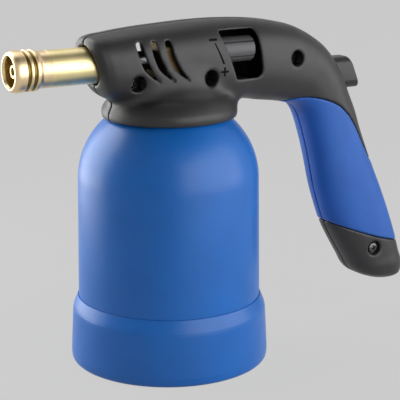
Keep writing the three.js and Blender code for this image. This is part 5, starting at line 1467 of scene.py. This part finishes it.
dress("burner", [
    (makeBurnerTube(), "head", "burner_tube", "brass", brass),
    (makeMixer(), "head", "mixer_tube", "steel", metals["shadeDarkenedSteel"]),
    (makeTip(), "head", "burner_tip", "brass", tintedBrass),
    (makeNozzle(), "head", "flame_nozzle", "brass", brass),
    (turnedPiece("electrode_wire", burnerValues["electrode"], electrodeAxis, 24),
     "head", "electrode", "steel", steel),
    (turnedPiece("electrode_tube", burnerValues["insulator"], electrodeAxis, 40, True),
     "head", "electrode_insulator", "ceramic", plastics["glazedAlumina"]),
])

dress("igniter", [
    (makeButton(), "button", "igniter_button", "button_plastic", plastics["polishedAbs"]),
    (makePlunger(), "button", "piezo_plunger", "steel", steel),
    (makePiezo(), "head", "piezo_body", "casing_plastic", blackPlastic),
    (makeSpring(), "head", "igniter_spring", "steel", steel),
    (makeLead(), "head", "ignition_lead", "lead_insulation", plastics["extrudedSilicone"]),
])
# The spring gets its own copy of its mesh.
spring = bpy.data.objects["return_spring_coil"]
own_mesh(spring)

dress("screws", [
    (makeScrew(n, *place), "head", "casing_screw_%d" % n, "steel", metals["blackenedSteel"])
    for n, place in enumerate(places["screws"], 1)
])

shells = makeCasing()
dress("casing", [row for side in ("left", "right") for row in (
    (shells[side + "Casing"], "head", side + "_casing", "casing_plastic", blackPlastic),
    (shells[side + "Grip"], "head", side + "_grip", "grip_plastic", plastics["softTouchElastomer"]),
)])
for n in range(1, len(casing["marks"]) + 1):
    mark = shells["mark%d" % n]
    mark.data.materials.append(plastics["mattPrintingInk"])
    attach(mark, "head")
print("marks ready")


studio = {
    "floorRings": (0, 80, 200, 500, 1200, 3000, 7000),
    "floorDrop": 0.02,  # keeps the floor clear of the bowl's underside
    "paperClouds": 40,
    "background": "CCCCCC",
    "backgroundStrength": 1.03,
    "floorColour": "BDBDBD",
    "floorShade": "B9B9B9",
    "shown": 0.93,  # share of the floor's look that is its plain background colour
    "ambient": 0.06,
    # Sine of the height angle where the pale backdrop starts to give way to the dim ceiling, and
    # where the ceiling is reached
    "backdropTop": 0.72, "ceiling": 0.88,
    "panels": {
        # In metres: angle round the torch from +X in degrees, distance, height of its middle,
        # height it faces, width, height, and its watts
        "right": (301, 0.58, 0.29, 0.29, 1.05, 0.58, 5.0),
        "rearLeft": (128, 0.39, 0.4, 0.4, 0.38, 0.8, 4.0),
        "top": (85, 0.43, 1.15, 0.1, 0.8, 0.7, 2.7),
    },
}


def plainToViewers(tree, lit, share):
    # The plain background colour shows to the camera, and in metal and glass, by the share
    # given, and what is lit shows otherwise.
    rays = addNode(tree, "ShaderNodeLightPath").outputs
    seen = rays["Is Camera Ray"]
    for kind in ("Is Glossy Ray", "Is Transmission Ray"):
        seen = addNode(tree, "ShaderNodeMath", {
            0: seen, 1: rays[kind]}, 0, operation="ADD", use_clamp=True)
    seen = addNode(tree, "ShaderNodeMath", {0: seen, 1: share}, 0, operation="MULTIPLY")
    plain = addNode(tree, "ShaderNodeEmission", {
        "Color": linear(studio["background"]),
        "Strength": studio["backgroundStrength"]}, "Emission")
    return addNode(tree, "ShaderNodeMixShader", {"Fac": seen, 1: lit, 2: plain}, "Shader")


def makeFloor():
    # A disc: rings of growing radius round the cup's axis. It is matt paper: mostly the plain
    # background colour, and the rest is lit, so that the torch's shadow stays.
    turn = turnsAround(96)
    radii = np.array(studio["floorRings"], float)[:, None]
    across, along = radii * np.cos(turn), radii * np.sin(turn)
    down = np.full_like(across, -studio["floorDrop"])
    floor = gridPiece("floor", np.stack([across, along, down], axis=-1), sharpAngle=0)
    if floor.data.polygons[0].normal.z < 0:
        floor.data.flip_normals()
    material, tree, place = startMaterial("paperBackdrop")
    clouds = addNode(tree, "ShaderNodeTexNoise", {
        "Vector": place, "Scale": 1 / (studio["paperClouds"] * mm), "Detail": 3}, "Fac")
    shade, colour = linear(studio["floorShade"]), linear(studio["floorColour"])
    tone = addNode(tree, "ShaderNodeMix", {
        "Factor": clouds, 6: shade, 7: colour}, 2, data_type="RGBA")
    lit = addNode(tree, "ShaderNodeBsdfDiffuse", {"Color": tone}, "BSDF")
    surface = plainToViewers(tree, lit, studio["shown"])
    addNode(tree, "ShaderNodeOutputMaterial", {"Surface": surface})
    floor.data.materials.append(material)


def makeWorld():
    # The backdrop is pale up to its height, and the ceiling above it is dim.
    world = bpy.data.worlds.new("studio")
    world.use_nodes = True
    tree = world.node_tree
    tree.nodes.clear()
    ambient = addNode(tree, "ShaderNodeBackground", {
        "Color": (1, 1, 1, 1), "Strength": studio["ambient"]}, "Background")
    way = addNode(tree, "ShaderNodeTexCoord", output="Generated")
    height = addNode(tree, "ShaderNodeSeparateXYZ", {"Vector": way}, "Z")
    backdrop = addNode(tree, "ShaderNodeMapRange", {
        "Value": height, "From Min": studio["backdropTop"], "From Max": studio["ceiling"],
        "To Min": 1, "To Max": 0}, "Result")
    addNode(tree, "ShaderNodeOutputWorld", {"Surface": plainToViewers(tree, ambient, backdrop)})
    bpy.context.scene.world = world


def makePanels():
    # Each lamp stands at its angle and distance and faces the cup's axis at its own height.
    for name, (turn, distance, middle, aim, width, height, watts) in studio["panels"].items():
        light = bpy.data.lights.new(name + "Panel", "AREA")
        light.shape = "RECTANGLE"
        light.size, light.size_y, light.energy = width, height, watts
        panel = bpy.data.objects.new(name + "Panel", light)
        turn = math.radians(turn)
        panel.location = (distance * math.cos(turn), distance * math.sin(turn), middle)
        away = panel.location - Vector((0, 0, aim))
        panel.rotation_euler = away.to_track_quat("Z", "Y").to_euler()
        panel.visible_camera = False
        bpy.context.scene.collection.objects.link(panel)


cameraValues = {
    # Distance and height in mm, angles in degrees, focal length in pixels of the picture
    "distance": 711.27, "height": 269.36, "turn": 29.105, "aim": 1.3275, "down": 14.549,
    "focal": 1400.3, "imageWidth": 400, "sensor": 36,
}


def makeCamera():
    # It stands back by its distance at its turn, and looks aside by the aim and down.
    v = cameraValues
    lens = bpy.data.cameras.new("camera")
    lens.sensor_width = v["sensor"]
    lens.lens = v["focal"] * v["sensor"] / v["imageWidth"]
    lens.clip_end = 50
    camera = bpy.data.objects.new("camera", lens)
    turn = math.radians(v["turn"])
    away = v["distance"]
    camera.location = Vector((-away * math.sin(turn), -away * math.cos(turn), v["height"])) * mm
    camera.rotation_euler = (math.radians(90 - v["down"]), 0, -math.radians(v["turn"] + v["aim"]))
    bpy.context.scene.collection.objects.link(camera)
    bpy.context.scene.camera = camera


makeFloor()
makeWorld()
makePanels()
makeCamera()
bpy.context.scene.view_settings.view_transform = "Standard"
print("studio ready")
